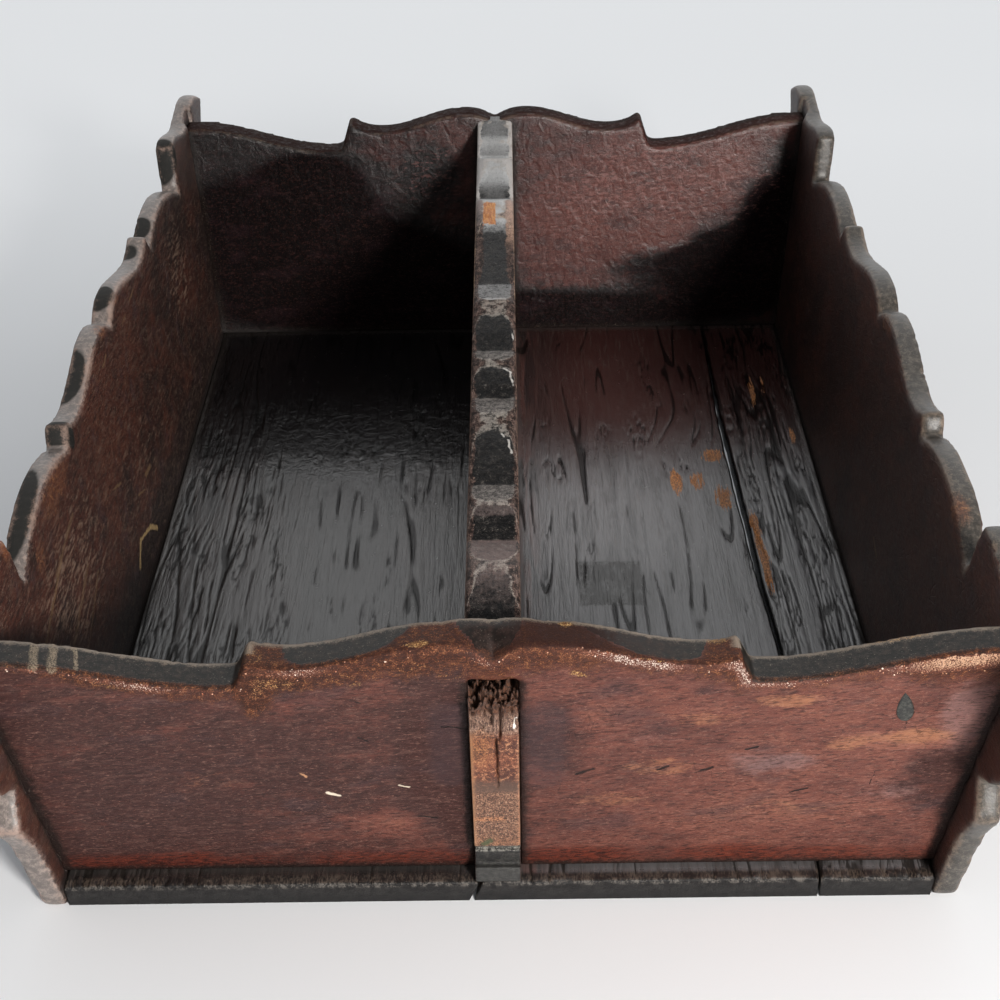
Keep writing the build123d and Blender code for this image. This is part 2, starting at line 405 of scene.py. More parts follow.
def woodFinish(name, **changes):
    # the boards' stain and varnish, with the wear, and the painted light and shade, that their marks place
    look = boardLook | changes
    f = Finish(name)
    long = look["long"]
    f.lean(look["tilt"], look["lean"][0])
    grain = f.noise(0.52, long, detail=8, rough=0.70, wander=0.5)
    pores = f.noise(0.36, shorter(long, 0.6), detail=5, rough=0.72, shift=13)
    figure = f.noise(3.0, shorter(long, 0.45), detail=6, rough=0.62, wander=0.6, shift=9)
    cloud = f.noise(20, (1.6, 1, 1), detail=5, rough=0.6, shift=4)
    fine = f.noise(0.3, detail=3, rough=0.65, shift=2)
    patchy = f.noise(1.5, detail=6, rough=0.70, shift=6)
    axis, low, high = look["lean"]
    lean = f.step(f.axis(axis), low, high, -look["leanAmount"], look["leanAmount"])
    leaning = f.sum("MULTIPLY_ADD", figure, 0.5, lean)
    warmth = f.sum("ADD", leaning, f.sum("MULTIPLY_ADD", cloud, 0.6, f.mark("warm")))
    mottle = f.noise(5.0, (2.6, 1, 1), detail=6, rough=0.64, wander=0.5, shift=37)
    warmth = f.plus(warmth, patchy, 0.25, mottle, look["mottle"])
    colour = f.mix(f.step(warmth, 0.36, 0.72), look["cool"], look["warm"])
    hot = f.times(f.step(f.plus(warmth, pores, 0.7), 0.64, 0.98), look["hotShare"])
    colour = f.mix(hot, colour, look["hot"])
    violet = f.step(f.noise(7, (2.4, 1, 1), detail=4, shift=31), 0.54, 0.68)
    colour = f.mix(f.times(violet, 0.5), colour, look["violet"])
    mauve = f.step(f.plus(f.mark("mauve"), figure, 1.6, patchy, 1.0), 0.35, 1.05)
    colour = f.mix(f.times(mauve, 0.55), colour, look["mauve"])
    tanned = f.step(f.plus(f.mark("tan"), figure, 2.0, pores, 1.4), 0.40, 1.10)
    colour = f.mix(f.times(tanned, 0.6), colour, look["tan"])
    dark = f.times(f.step(grain, 0.38, 0.52, 1, 0), look["lineShare"])
    colour = f.mix(dark, colour, look["line"])
    colour = f.mix(f.times(f.step(pores, 0.55, 0.68), look["paleShare"]), colour, look["pale"])
    glances = f.noise(1.0, shorter(long, 0.8), detail=5, rough=0.7, shift=27)
    colour = f.mix(f.times(f.step(glances, 0.50, 0.66), look["paleShare"] * 0.3), colour, look["pale"])
    fleck = f.mark("fleck")
    flecks = f.times(f.step(f.sum("MULTIPLY_ADD", fleck, 0.10, glances), 0.60, 0.68), fleck)
    colour = f.mix(f.times(flecks, 0.6), colour, look["pale"])
    crazing = f.step(f.cracks(3.6), 0.0, 0.03, 1, 0)
    crazing = f.times(crazing, f.step(f.noise(14, detail=3, shift=21), 0.54, 0.64))
    colour = f.mix(f.times(crazing, look["crackleShare"]), colour, look["crackAndJoinDark"])

    red = f.step(f.plus(f.mark("red"), cloud, 2.2, pores, 1.2), 0.5, 1.3)
    redTone = f.mix(f.step(grain, 0.4, 0.6), tint(42, 15, 11), tint(100, 38, 21))
    colour = f.mix(f.times(red, 0.8), colour, redTone)
    # darker near other boards, as dirt and painted shade, with pale dust specks there
    nearJoinShare = f.step(f.plus(f.mark("nearJoin"), patchy, 1.1), 0.28, 0.75)
    colour = f.mix(f.times(nearJoinShare, 0.85), colour, look["crackAndJoinDark"])
    dust = f.times(nearJoinShare, f.step(fine, 0.60, 0.70))
    colour = f.mix(f.times(dust, 0.5), colour, tint(130, 116, 104))

    black = f.mark("black")
    edge = f.sum("ADD", f.plus(f.mark("rim"), patchy, 1.3), f.sum("MULTIPLY_ADD", black, 12.0, -12.0))
    ebonyShare = f.step(edge, -0.5, 0.3)
    ebonyTone = f.mix(f.step(f.plus(patchy, fine, 0.4), 0.42, 0.68), look["ebony"], look["ebonyWorn"])
    salt = f.step(f.plus(f.noise(0.22, detail=1, shift=41), patchy, 0.25), 0.70, 0.76)
    ebonyTone = f.mix(f.times(salt, 0.6), ebonyTone, tint(168, 160, 148))
    colour = f.mix(ebonyShare, colour, ebonyTone)

    bareShare = f.step(f.plus(f.mark("bare"), patchy, 0.9, fine, 0.5), 0.10, 0.90)
    scraped = f.plus(pores, fine, 0.6, patchy, 1.0)
    bareTone = f.mix(f.step(scraped, 0.36, 0.68), look["bareDeep"], look["bareMid"])
    rubbed = f.step(f.plus(fine, patchy, 0.7), 0.56, 0.72)
    bareTone = f.mix(f.times(rubbed, 0.6), bareTone, look["bareLight"])
    colour = f.mix(f.times(bareShare, 0.9), colour, bareTone)
    # darker where the deep mark is: a darker rim on the end panels, and painted shade on the left rim's
    # lobes
    deep = f.step(f.plus(f.mark("deep"), patchy, 0.9), 0.15, 0.8)
    colour = f.mix(f.times(deep, look["deepShare"]), colour, look["deep"])
    wornArris = f.step(f.plus(f.mark("arris"), patchy, 1.1, fine, 0.9), 0.30, 0.90)
    colour = f.mix(f.times(wornArris, look["arrisShare"]), colour, look["arris"])
    gold = f.step(f.plus(f.mark("gold"), patchy, 0.7, fine, 1.5), 0.42, 0.86)
    goldTone = f.mix(f.step(f.plus(fine, pores, 0.8), 0.42, 0.66), tint(104, 64, 36), tint(190, 152, 102))
    colour = f.mix(gold, colour, goldTone)

    crust = f.mark("crust")
    stain = f.step(f.plus(crust, patchy, 1.0, fine, 0.5), 0.4, 1.0)
    crustTone = f.mix(f.step(fine, 0.40, 0.62), look["crustDeep"], tint(156, 104, 86))
    colour = f.mix(f.times(stain, 0.55), colour, crustTone)
    crumbs = f.step(f.plus(f.sum("MULTIPLY_ADD", crust, 0.5, -0.02), fine, 1.7), 0.50, 0.66)
    crumbs = f.times(crumbs, f.step(crust, 0.05, 0.35))
    crumbTone = f.mix(f.step(f.axis("X"), 80, 88, 0, 0.8), look["crustPale"], tint(196, 146, 108))
    colour = f.mix(f.times(crumbs, 0.9), colour, crumbTone)

    height = f.times(f.plus(grain, pores, 0.8), f.blend(ebonyShare, 1.0, 0.15))
    height = f.sum("MULTIPLY_ADD", patchy, f.blend(ebonyShare, 0.35, 0.6), height)
    gritty = f.most(crumbs, f.times(bareShare, 0.6))
    height = f.sum("MULTIPLY_ADD", gritty, f.times(fine, 2.2), height)
    height = f.sum("MULTIPLY_ADD", crazing, f.blend(ebonyShare, -0.4, 0), height)
    for start, end, half, shade, depth, speckled in look["strokes"]:
        line = f.stroke(start, end, half)
        line = f.times(line, f.step(fine, 0.46, 0.54, 1 - speckled, 1)) if speckled else line
        colour = f.mix(f.times(line, shade[3]), colour, shade)
        height = f.sum("MULTIPLY_ADD", line, -depth, height)

    rough = f.plus(f.blend(ebonyShare, look["gloss"], look["ebonyGloss"]), patchy, 0.3)
    rough = f.most(rough, f.times(f.most(nearJoinShare, f.most(stain, bareShare)), 0.6))
    rough = f.most(rough, f.times(deep, 0.7))
    dull = f.most(f.step(f.mark("warm"), -0.1, -0.42), deep)
    level = f.blend(dull, look["level"], look["level"] * look["dull"])
    lump = f.noise(*look["lumpSize"], detail=4, rough=0.55, wander=0.6, shift=51) if look["lumps"] else None
    return f.close(colour, rough, height, look["relief"], level, lump, look["lumps"])


print("finishes ready")


def closedCopy(node):
    shape = bmesh.new()
    shape.from_mesh(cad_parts[node].data)
    bmesh.ops.remove_doubles(shape, verts=shape.verts, dist=0.002 * mm)
    shape.verts.index_update()
    return shape


shapes = {node: closedCopy(node) for node in woodNodes}


def searchTree(nodes):
    corners, faces = [], []
    for node in nodes:
        start = len(corners)
        corners += [v.co.copy() for v in shapes[node].verts]
        faces += [[start + v.index for v in face.verts] for face in shapes[node].faces]
    return bvhtree.BVHTree.FromPolygons(corners, faces)


def freeArrises(shape, others, notThere, sharpness=radians(35), clear=0.6 * mm, spacing=0.8 * mm):
    # points along the sharp outer corners that touch no other board, and lie in none of the given boxes
    found = []
    for edge in shape.edges:
        if len(edge.link_faces) != 2 or edge.calc_face_angle_signed() < sharpness:
            continue
        start, end = (v.co for v in edge.verts)
        steps = max(1, round(edge.calc_length() / spacing))
        for k in range(steps + 1):
            point = start.lerp(end, k / steps)
            held = any(x0 < point.x / mm < x1 and z0 < point.z / mm < z1 for x0, x1, z0, z1 in notThere)
            if not held and others.find_nearest(point, clear)[0] is None:
                found.append(point)
    tree = kdtree.KDTree(len(found))
    for k, point in enumerate(found):
        tree.insert(point, k)
    tree.balance()
    return tree


def readVectors(mesh, what):
    flat = np.empty(len(mesh.vertices) * 3, np.float32)
    mesh.vertices.foreach_get(what, flat)
    return flat.reshape(-1, 3).astype(float)


def noiseAt(points, size, seed=0, stretch=(1, 1, 1)):
    # points in metres, size in millimetres; about -1 to 1
    spots = points / (np.array(stretch) * size * mm) + seed * 7.31
    return np.array([noise.noise(spot) for spot in spots])


def writeMark(mesh, name, values):
    mark = mesh.attributes.get(name) or mesh.attributes.new(name, "FLOAT", "POINT")
    mark.data.foreach_set("value", np.asarray(values, np.float32))


def between(pairs, at):
    # values given at a few places, and read between them
    places, values = zip(*pairs)
    return np.interp(at, places, values)


def smooth(value, low, high):
    share = np.clip((value - low) / (high - low), 0, 1)
    return share * share * (3 - 2 * share)


def settle(obj):
    # the modifiers' result becomes the object's own mesh
    made = bpy.data.meshes.new_from_object(obj.evaluated_get(bpy.context.evaluated_depsgraph_get()))
    obj.modifiers.clear()
    obj.data = made


def denseBoard(shape, name, voxel):
    mesh = bpy.data.meshes.new(name)
    shape.to_mesh(mesh)
    obj = linked(name, mesh)
    skin = obj.modifiers.new("even skin", "REMESH")
    skin.mode = "VOXEL"
    skin.voxel_size = voxel * mm
    skin.use_smooth_shade = True
    settle(obj)
    return obj


def spotField(points, spots):
    # soft spots, given one by one: x, y, z, then how far each reaches, then how strong
    field = np.zeros(len(points))
    for x, y, z, reachX, reachY, reachZ, strength in spots:
        away = np.linalg.norm((points / mm - (x, y, z)) / (reachX, reachY, reachZ), axis=1)
        field += strength * (1 - smooth(away, 0.35, 1.25))
    return field


wearLook = {
    "voxel": 0.9,
    "seed": 1,
    "useSize": 14,             # how far apart the much used and little used stretches lie
    "softReach": 2.2,
    "softness": 1.0,
    "leastWorn": 0.02,         # corners worn less than this aren't softened at all
    "rounds": 22,
    "chipSize": 4.5,
    "chipLevel": 0.38,
    "chipReach": 1.8,
    "chipDepth": 1.0,
    "heave": 0.10,             # how far the faces rise and sink
    "heaveSize": 22,
    "joinReach": 9,
    "arrisReach": 1.6,
    "rimReach": 8.5,           # how far from an arris a board's narrow edge still counts as its rim
    "notThere": (),            # boxes across and up in which a corner isn't worn: x0, x1, z0, z1
    "bareSpots": (),
    "warmSpots": (),
    "fleckSpots": (),
    "deepSpots": (),
    "tanSpots": (),
    "mauveSpots": (),
}


def ageBoard(obj, node, look, others=None, shape=None, carve=None, marks=None):
    # rounds and chips the free arrises, and writes the marks that the finish reads
    shape = shape or shapes[node]
    others = others or searchTree([n for n in woodNodes if n != node])
    own = bvhtree.BVHTree.FromBMesh(shape)
    arrises = freeArrises(shape, others, look["notThere"])
    facing = Vector(boardFacing[node])
    start = readVectors(obj.data, "co")
    away, rim, near = (np.empty(len(start)) for _ in range(3))
    for k, point in enumerate(start):
        away[k] = arrises.find(point)[2]
        rim[k] = abs(own.find_nearest(point)[1].dot(facing)) < 0.8
        touch = others.find_nearest(point, look["joinReach"] * mm)[3]
        near[k] = look["joinReach"] if touch is None else touch / mm
    away /= mm
    use = 0.6 + 0.4 * noiseAt(start, look["useSize"], look["seed"])
    group = obj.vertex_groups.new(name="worn")
    worn = np.clip(np.exp(-(away / look["softReach"]) ** 2) * use * look["softness"], 0, 1)
    for k in np.nonzero(worn > look["leastWorn"])[0]:
        group.add([int(k)], float(worn[k]), "REPLACE")
    soften = obj.modifiers.new("worn arrises", "SMOOTH")
    soften.factor = 0.5
    soften.iterations = look["rounds"]
    soften.vertex_group = "worn"
    settle(obj)
    points, normals = readVectors(obj.data, "co"), readVectors(obj.data, "normal")
    bite = noiseAt(points, look["chipSize"], look["seed"] + 1)
    bite += 0.5 * noiseAt(points, look["chipSize"] / 3, look["seed"] + 2)
    chips = np.clip(bite - look["chipLevel"], 0, 1) * np.exp(-(away / look["chipReach"]) ** 2)
    heave = noiseAt(points, look["heaveSize"], look["seed"] + 3) * look["heave"] * (near > 1.0)
    points -= normals * ((chips * look["chipDepth"] + heave)[:, None] * mm)
    if carve:
        points = carve(points)
    obj.data.vertices.foreach_set("co", points.astype(np.float32).ravel())
    obj.vertex_groups.clear()
    onRim = (rim > 0.5) & (away < look["rimReach"])
    arris = np.exp(-(away / look["arrisReach"]) ** 2) * np.clip(use + chips, 0, 1)
    writeMark(obj.data, "rim", np.where(onRim, away, -away).clip(-8, 8))
    writeMark(obj.data, "black", np.ones(len(points)))
    writeMark(obj.data, "arris", arris)
    # how near each point lies to another board: the wood finishes darken it there, as dirt and painted
    # shade
    writeMark(obj.data, "nearJoin", np.exp(-near / (look["joinReach"] * 0.3)) - np.exp(-1 / 0.3))
    writeMark(obj.data, "bare", spotField(points, look["bareSpots"]))
    for name in ("warm", "fleck", "deep", "tan", "mauve"):
        writeMark(obj.data, name, spotField(points, look[name + "Spots"]))
    for name, values in (marks(points, away, onRim) if marks else {}).items():
        writeMark(obj.data, name, values)
    obj.data.update()


def turnOut(mesh):
    # all faces look outwards, and the four-sided ones are shaded smooth
    shape = bmesh.new()
    shape.from_mesh(mesh)
    bmesh.ops.recalc_face_normals(shape, faces=shape.faces[:])
    shape.to_mesh(mesh)
    shape.free()
    mesh.polygons.foreach_set("use_smooth", [len(f.vertices) == 4 for f in mesh.polygons])


def placePiece(obj, nodes, material):
    obj.data.materials.clear()
    obj.data.materials.append(material)
    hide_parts(*nodes)
    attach(obj, "root")


def endDepth(points, sign):
    # how far points lie into an end panel from its outer face, in millimetres
    y, z = points[:, 1] * sign / mm, points[:, 2] / mm
    return (footLine + (z - floorTop) * tan(endLean) - y) * cos(endLean)


frontLook = wearLook | {
    "voxel": 0.68,
    "seed": 3,
    "softReach": 1.5,
    "rounds": 14,
    "cuspBase": 70,
    "cuspHalf": 10.5,
    "cuspFill": 3.0,
    "cuspNotch": 1.6,
    # along the top edge, x then value: how deep in from the outer face its black starts
    "blackFrom": (
        (-104, -1), (-52.0, -1), (-51.2, 10), (-44.5, 10), (-42.5, 3.5), (-38, 0.4), (-30, -0.5),
        (-25, 0.6), (-20, 3.4), (-17, 7), (-15, 10), (-8.5, 10), (-6.5, 5), (-2, -1), (2, -1), (5, 3),
        (6.8, 9.4), (15, 9.2), (20, 5.4), (26, 2.6), (32, 0.8), (38, 0.6), (42.5, 2.4), (45.0, 8),
        (46, 10), (49.8, 10), (51.0, -1), (104, -1),
    ),
    # how far below the arris the wood is worn warm, how golden, and how much crust it bears
    "bandDepth": (
        (-104, 2), (-84, 4), (-70, 4.5), (-54, 5), (-51, 10), (-42, 9), (-30, 7), (-20, 8.5), (-10, 10),
        (0, 6.5), (9, 8), (21, 8), (27, 5), (40, 4), (45, 6), (50, 6), (53, 3), (70, 3.5), (84, 5),
        (92, 9), (104, 9),
    ),
    "bandBare": (
        (-104, 0.3), (-84, 0.75), (-70, 0.7), (-54, 0.6), (-51, 1.1), (-42, 1.0), (-36, 0.7), (-24, 0.85),
        (-15, 0.9), (-8, 0.85), (0, 0.7), (10, 0.85), (20, 0.75), (28, 0.55), (40, 0.5), (48, 0.9),
        (52, 0.5), (66, 0.5), (80, 0.55), (90, 0.85), (104, 0.8),
    ),
    "bandCrust": (
        (-104, 0.5), (-93, 0.8), (-88, 0.35), (-82, 0.6), (-71, 1.0), (-66, 0.6), (-56, 0.45), (-50, 0.4),
        (-39, 0.9), (-34, 0.6), (-27, 0.3), (-18, 0.4), (-8, 0.25), (-2, 0.8), (1, 0.5), (10, 0.3),
        (20, 0.7), (25, 1.1), (35, 1.1), (42, 0.4), (47, 0.7), (50, 1.1), (54, 1.1), (64, 0.7),
        (76, 0.35), (84, 0.9), (90, 1.3), (98, 1.4), (104, 1.0),
    ),
    # how dark the bare wood is on top
    "rimDeep": (
        (-104, 0.2), (-54, 0.2), (-50, 0.05), (-44, 0.25), (-22, 0.2), (-14, 0.15), (-7, 0.4), (3, 0.5),
        (8, 0.75), (20, 0.75), (26, 0.5), (40, 0.3), (46, 0.1), (104, 0.2),
    ),
    "redBand": (6.0, 12.5),    # heights between which the varnish is deep red
    "warmSpots": (
        (87, -147, 50, 14, 40, 3.2, 0.45),
        (97, -147, 43, 9, 40, 6, -0.35),
        (96, -145, 34, 11, 40, 9, -0.30),
        (62, -143, 26, 26, 40, 7, 0.16),
        (40, -143, 22, 14, 40, 5, 0.12),
        (-14, -145, 45, 9, 40, 30, -0.30),
        (-8, -145, 40, 5, 40, 34, -0.45),
        (12, -147, 55, 8, 40, 12, -0.20),
        (-34, -143, 40, 26, 40, 22, -0.06),
        (-24, -142, 24, 10, 40, 5, 0.20),
        (-70, -145, 38, 24, 40, 18, -0.10),
        (-92, -145, 48, 10, 40, 16, -0.05),
        (-60, -150, 66, 40, 40, 4, 0.10),
        (30, -148, 60, 40, 40, 5, 0.08),
        (0, -150, 71.6, 6, 40, 2.6, 0.35),
    ),
    "tanSpots": (
        (90, -147, 51.4, 11, 40, 3.4, 1.1),
        (61, -149, 63.6, 9, 40, 3.0, 0.9),
        (75, -147, 49.4, 7, 40, 3.4, 0.9),
        (35, -145, 41.5, 10, 40, 4.2, 0.7),
        (44, -148, 58.0, 10, 40, 3.0, 0.6),
        (27, -143, 30.5, 12, 40, 4.0, 0.6),
        (62, -143, 27.0, 16, 40, 4.0, 0.5),
        (-62, -145, 40.0, 16, 40, 4.0, 0.3),
    ),
    "mauveSpots": (
        (100, -147, 58, 9, 40, 15, 1.0),
        (60, -146, 43.5, 14, 40, 5.5, 0.8),
        (84, -144, 32, 12, 40, 6, 0.6),
        (30, -148, 52, 12, 40, 5, 0.4),
    ),
    # golden wood laid bare: x, depth from the outer face, half widths, strength
    "goldSpots": (
        (-15, 1.6, 3.6, 1.1, 0.9),
        (15, 7.4, 2.2, 1.6, 0.8),
        (33, 0.2, 4.5, 0.8, 0.75),
        (46.5, 7.5, 3.2, 1.6, 0.7),
        (84, 8.4, 10, 1.1, 0.75),
        (-49, 4.0, 4.0, 4.5, 0.42),
        (17.5, -7.8, 2.6, 1.2, 0.8),
        (2, -7.2, 7, 0.5, 0.6),
        (-45, -4.5, 9.0, 3.0, 0.44),
        (-2, -8.6, 14, 0.5, 0.55),
        (-28, -7.5, 3.2, 1.2, 0.45),
        (-30, -4.5, 9.0, 2.2, 0.32),
        (-16, -5.5, 8.0, 2.2, 0.34),
        (-78, -2.2, 7.0, 1.2, 0.45),
    ),
    "notThere": ((-9, 9, 5, 73.5), (80, 93, 48, 70)),
}


def frontCusp(look):
    # the cusp is a notch in the outer arris only, and is filled towards the inner one
    def carve(points):
        x, z = points[:, 0] / mm, points[:, 2] / mm
        depth = np.clip(endDepth(points, -1) / endThickness, 0, 1)
        high = np.clip((z - look["cuspBase"]) / 6, 0, 1)
        near = np.clip(1 - np.abs(x) / look["cuspHalf"], 0, 1)
        rise = look["cuspFill"] * near * np.clip(depth * 1.6, 0, 1)
        notch = look["cuspNotch"] * np.clip(1 - np.abs(x) / 5, 0, 1) * np.clip(1 - 2 * depth, 0, 1)
        points[:, 2] += (rise - notch) * high * mm
        return points
    return carve


def frontMarks(look):
    def marks(points, away, onRim):
        x = points[:, 0] / mm
        z = points[:, 2] / mm
        depth = endDepth(points, -1)
        outer = smooth(depth, 2.5, 1.0)
        below = np.where(onRim, 0, away)
        wobble = noiseAt(points, 5, 71)
        reach = between(look["bandDepth"], x) * (1 + 0.35 * wobble)
        band = smooth(below, reach * 1.3, reach * 0.45) * outer
        blackFrom = between(look["blackFrom"], x + 0.8 * noiseAt(points, 3, 77)) + 0.6 * wobble
        black = smooth(depth, blackFrom - 0.4, blackFrom + 0.4)
        crustReach = np.minimum(reach, 4.5 + 2.5 * smooth(x, 82, 92))
        crust = between(look["bandCrust"], x) * smooth(below, crustReach, crustReach * 0.3) * outer
        crust *= smooth(below, -0.1, 0.5)
        low, high = look["redBand"]
        red = smooth(z, high + 4, high - 2) * smooth(z, low - 1, low + 2) * outer
        # in from the outer arris on top, and down from it on the face
        into = np.where(onRim, depth, -below)
        gold = np.zeros(len(points))
        for across, deep, halfX, halfDeep, strength in look["goldSpots"]:
            spot = np.hypot((x - across) / halfX, (into - deep) / halfDeep)
            gold = np.maximum(gold, strength * smooth(spot, 1.25, 0.3))
        return {
            "black": black,
            "bare": band * between(look["bandBare"], x) + onRim * 0.8 * (1 - black),
            "gold": gold * (outer + onRim).clip(0, 1),
            "deep": onRim * between(look["rimDeep"], x),
            "arris": np.exp(-(away / 2.0) ** 2) * (depth > 4.5),
            "crust": crust,
            "red": red,
        }
    return marks


def makeFrontPanel(look):
    obj = denseBoard(shapes["end_panel_front"], "frontPanel", look["voxel"])
    ageBoard(obj, "end_panel_front", look, carve=frontCusp(look), marks=frontMarks(look))
    scratch = tint(214, 160, 120, 0.7)
    ink = tint(18, 12, 11, 0.9)
    drip = tint(150, 134, 114, 0.85)
    slate = tint(60, 47, 50, 0.5)
    strokes = [
        ((10.5, -148, 60), (10.5, -145, 40), 5.5, slate, 0, 0.3),
        ((-10, -148, 61), (-10, -145, 40), 4.5, slate, 0, 0.3),
        ((-44, -145.1, 42.5), (-41, -145.1, 40.2), 0.35, scratch, 0.3, 0.3),
        ((-43, -145.1, 43.5), (-40.5, -145.1, 41.5), 0.2, scratch, 0.2, 0.3),
        ((-37, -143.7, 34.2), (-34.6, -143.7, 33.4), 0.45, tint(226, 210, 190, 0.9), 0.3, 0),
        ((-21, -144.2, 36.6), (-19, -144.2, 36.0), 0.35, tint(206, 190, 170, 0.9), 0.3, 0),
        ((-17.5, -142, 25.2), (-13.5, -142, 24.6), 0.3, ink, 1.0, 0),
        ((-29, -147.4, 53.5), (-26.5, -147.4, 51.5), 0.3, ink, 0.8, 0),
        ((-30, -149.6, 66), (-27.5, -149.4, 64.6), 0.3, ink, 0.8, 0),
        ((-11, -148, 56.6), (-5.5, -148, 56.0), 0.25, ink, 0.8, 0),
        ((17.5, -145.1, 39.8), (21, -145.2, 41.6), 0.45, ink, 1.6, 0),
        ((43.5, -145, 39.8), (47, -145.1, 41.8), 0.45, ink, 1.6, 0),
        ((35, -145.3, 41.2), (37.4, -145.3, 42), 0.35, ink, 1.2, 0),
        ((53.6, -146.5, 47.6), (56.4, -146.5, 48.6), 0.35, ink, 1.4, 0),
        ((64.5, -143.5, 32.2), (68, -143.6, 33.6), 0.35, ink, 1.2, 0),
        ((89.8, -150.5, 72), (90.6, -148.6, 59.4), 0.14, ink, 1.0, 0),
        ((80.8, -148.4, 58.3), (97.1, -149, 60.6), 0.12, ink, 1.0, 0),
        ((90.6, -148.6, 59.8), (98, -148.9, 61.2), 0.14, ink, 1.0, 0),
        ((86.5, -148.2, 56.5), (87, -147.4, 51.6), 0.16, ink, 0.5, 0),
        ((83, -147, 49), (82, -144, 35), 0.12, ink, 0.8, 0),
        ((92, -146, 44), (94, -144.5, 36), 0.12, ink, 0.8, 0),
        ((-93.1, -152.2, 76.7), (-94.7, -142.4, 77), 1.0, drip, -0.3, 0.8),
        ((-89.4, -152.2, 76), (-91.2, -142.4, 76.4), 1.0, drip, -0.3, 0.8),
        ((-85.0, -150, 75), (-86.8, -142.4, 75.4), 0.5, drip, -0.2, 0.8),
        ((-4.6, -150, 72), (5.4, -150, 71.8), 1.6, tint(72, 34, 14, 0.7), 0.2, 0),
    ]
    finish = woodFinish(
        "varnished front panel", strokes=strokes, tilt=0.10, mottle=0.55, lineShare=0.70, paleShare=0.5,
        level=0.22, gloss=0.5,
        cool=tint(60, 36, 33), warm=tint(100, 58, 49), hot=tint(142, 92, 74), pale=tint(146, 108, 96),
        bareDeep=tint(48, 23, 14), bareMid=tint(90, 49, 30), bareLight=tint(172, 118, 78),
    )
    placePiece(obj, ["end_panel_front"], finish)


backLook = wearLook | {
    "voxel": 0.85,
    "seed": 11,
    "softReach": 1.6,
    "rounds": 14,
    # warm spots on the inner face: the negative ones paint shadow over the left half and at the right end,
    # and darken it along the bottom; the positive ones make it warmer
    "warmSpots": (
        (45, 140, 52, 40, 30, 22, 0.22),
        (20, 140, 40, 22, 30, 20, 0.1),
        (0, 132, 12, 120, 30, 10, -0.5),
        (-76, 142, 38, 52, 30, 30, -0.7),
        (-26, 142, 24, 32, 30, 20, -0.55),
        (-64, 141, 62, 20, 30, 10, -0.35),
        (-24, 141, 62, 11, 30, 12, -0.22),
        (86, 136, 28, 26, 30, 17, -0.75),
        (98, 138, 46, 14, 30, 26, -0.55),
        (58, 134, 27, 20, 30, 9, -0.34),
        (84, 142, 62, 18, 30, 9, 0.30),
    ),
    # pale flecks on the inner face, partly painted highlights on the lumpy varnish
    "fleckSpots": (
        (60, 140, 60, 45, 30, 22, 1.0),
        (20, 140, 40, 30, 30, 24, 0.6),
        (-22, 140, 62, 18, 30, 14, 0.6),
    ),
}


def backMarks(points, away, onRim):
    # only the far half of the top edge is black, and only the inner face takes the warm spots, with their
    # painted shadow
    depth = endDepth(points, 1)
    warm = spotField(points, backLook["warmSpots"]) * smooth(depth, 2.0, 4.0)
    warm += 0.16 * smooth(depth, 3.0, 1.0)
    return {"black": smooth(depth, 5.0, 3.2), "deep": onRim * 0.7, "warm": warm}


def makeBackPanel(look):
    obj = denseBoard(shapes["end_panel_back"], "backPanel", look["voxel"])
    ageBoard(obj, "end_panel_back", look, marks=backMarks)
    paintedGleam = tint(112, 110, 110, 0.6)
    # small grey painted glints low on the inner face
    strokes = [
        ((13, 132.4, 16.6), (16.5, 132.3, 15.8), 1.1, paintedGleam, 0.2, 1),
        ((20, 132.2, 15.8), (21.5, 132.2, 15.2), 0.9, paintedGleam, 0.2, 1),
        ((54, 134.6, 34.2), (57, 134.6, 34.6), 0.6, paintedGleam, 0.2, 1),
        ((62, 134.8, 34.8), (66, 134.8, 35.4), 0.5, paintedGleam, 0.2, 1),
    ]
    finish = woodFinish(
        "varnished back panel with painted light and shade", strokes=strokes, long=(3, 1, 1), lumps=0.34, lumpSize=(3.0, (1.2, 1, 1.5)),
        hotShare=0.35, lineShare=0.5, paleShare=0.22, arrisShare=0.3, crackleShare=0.1,
        gloss=0.34, ebonyGloss=0.6, level=0.42, dull=0.1, relief=0.08,
        cool=tint(14, 10, 11), warm=tint(74, 36, 31), hot=tint(108, 58, 48), pale=tint(120, 78, 72),
        violet=tint(34, 22, 25), line=tint(18, 11, 12),
    )
    placePiece(obj, ["end_panel_back"], finish)


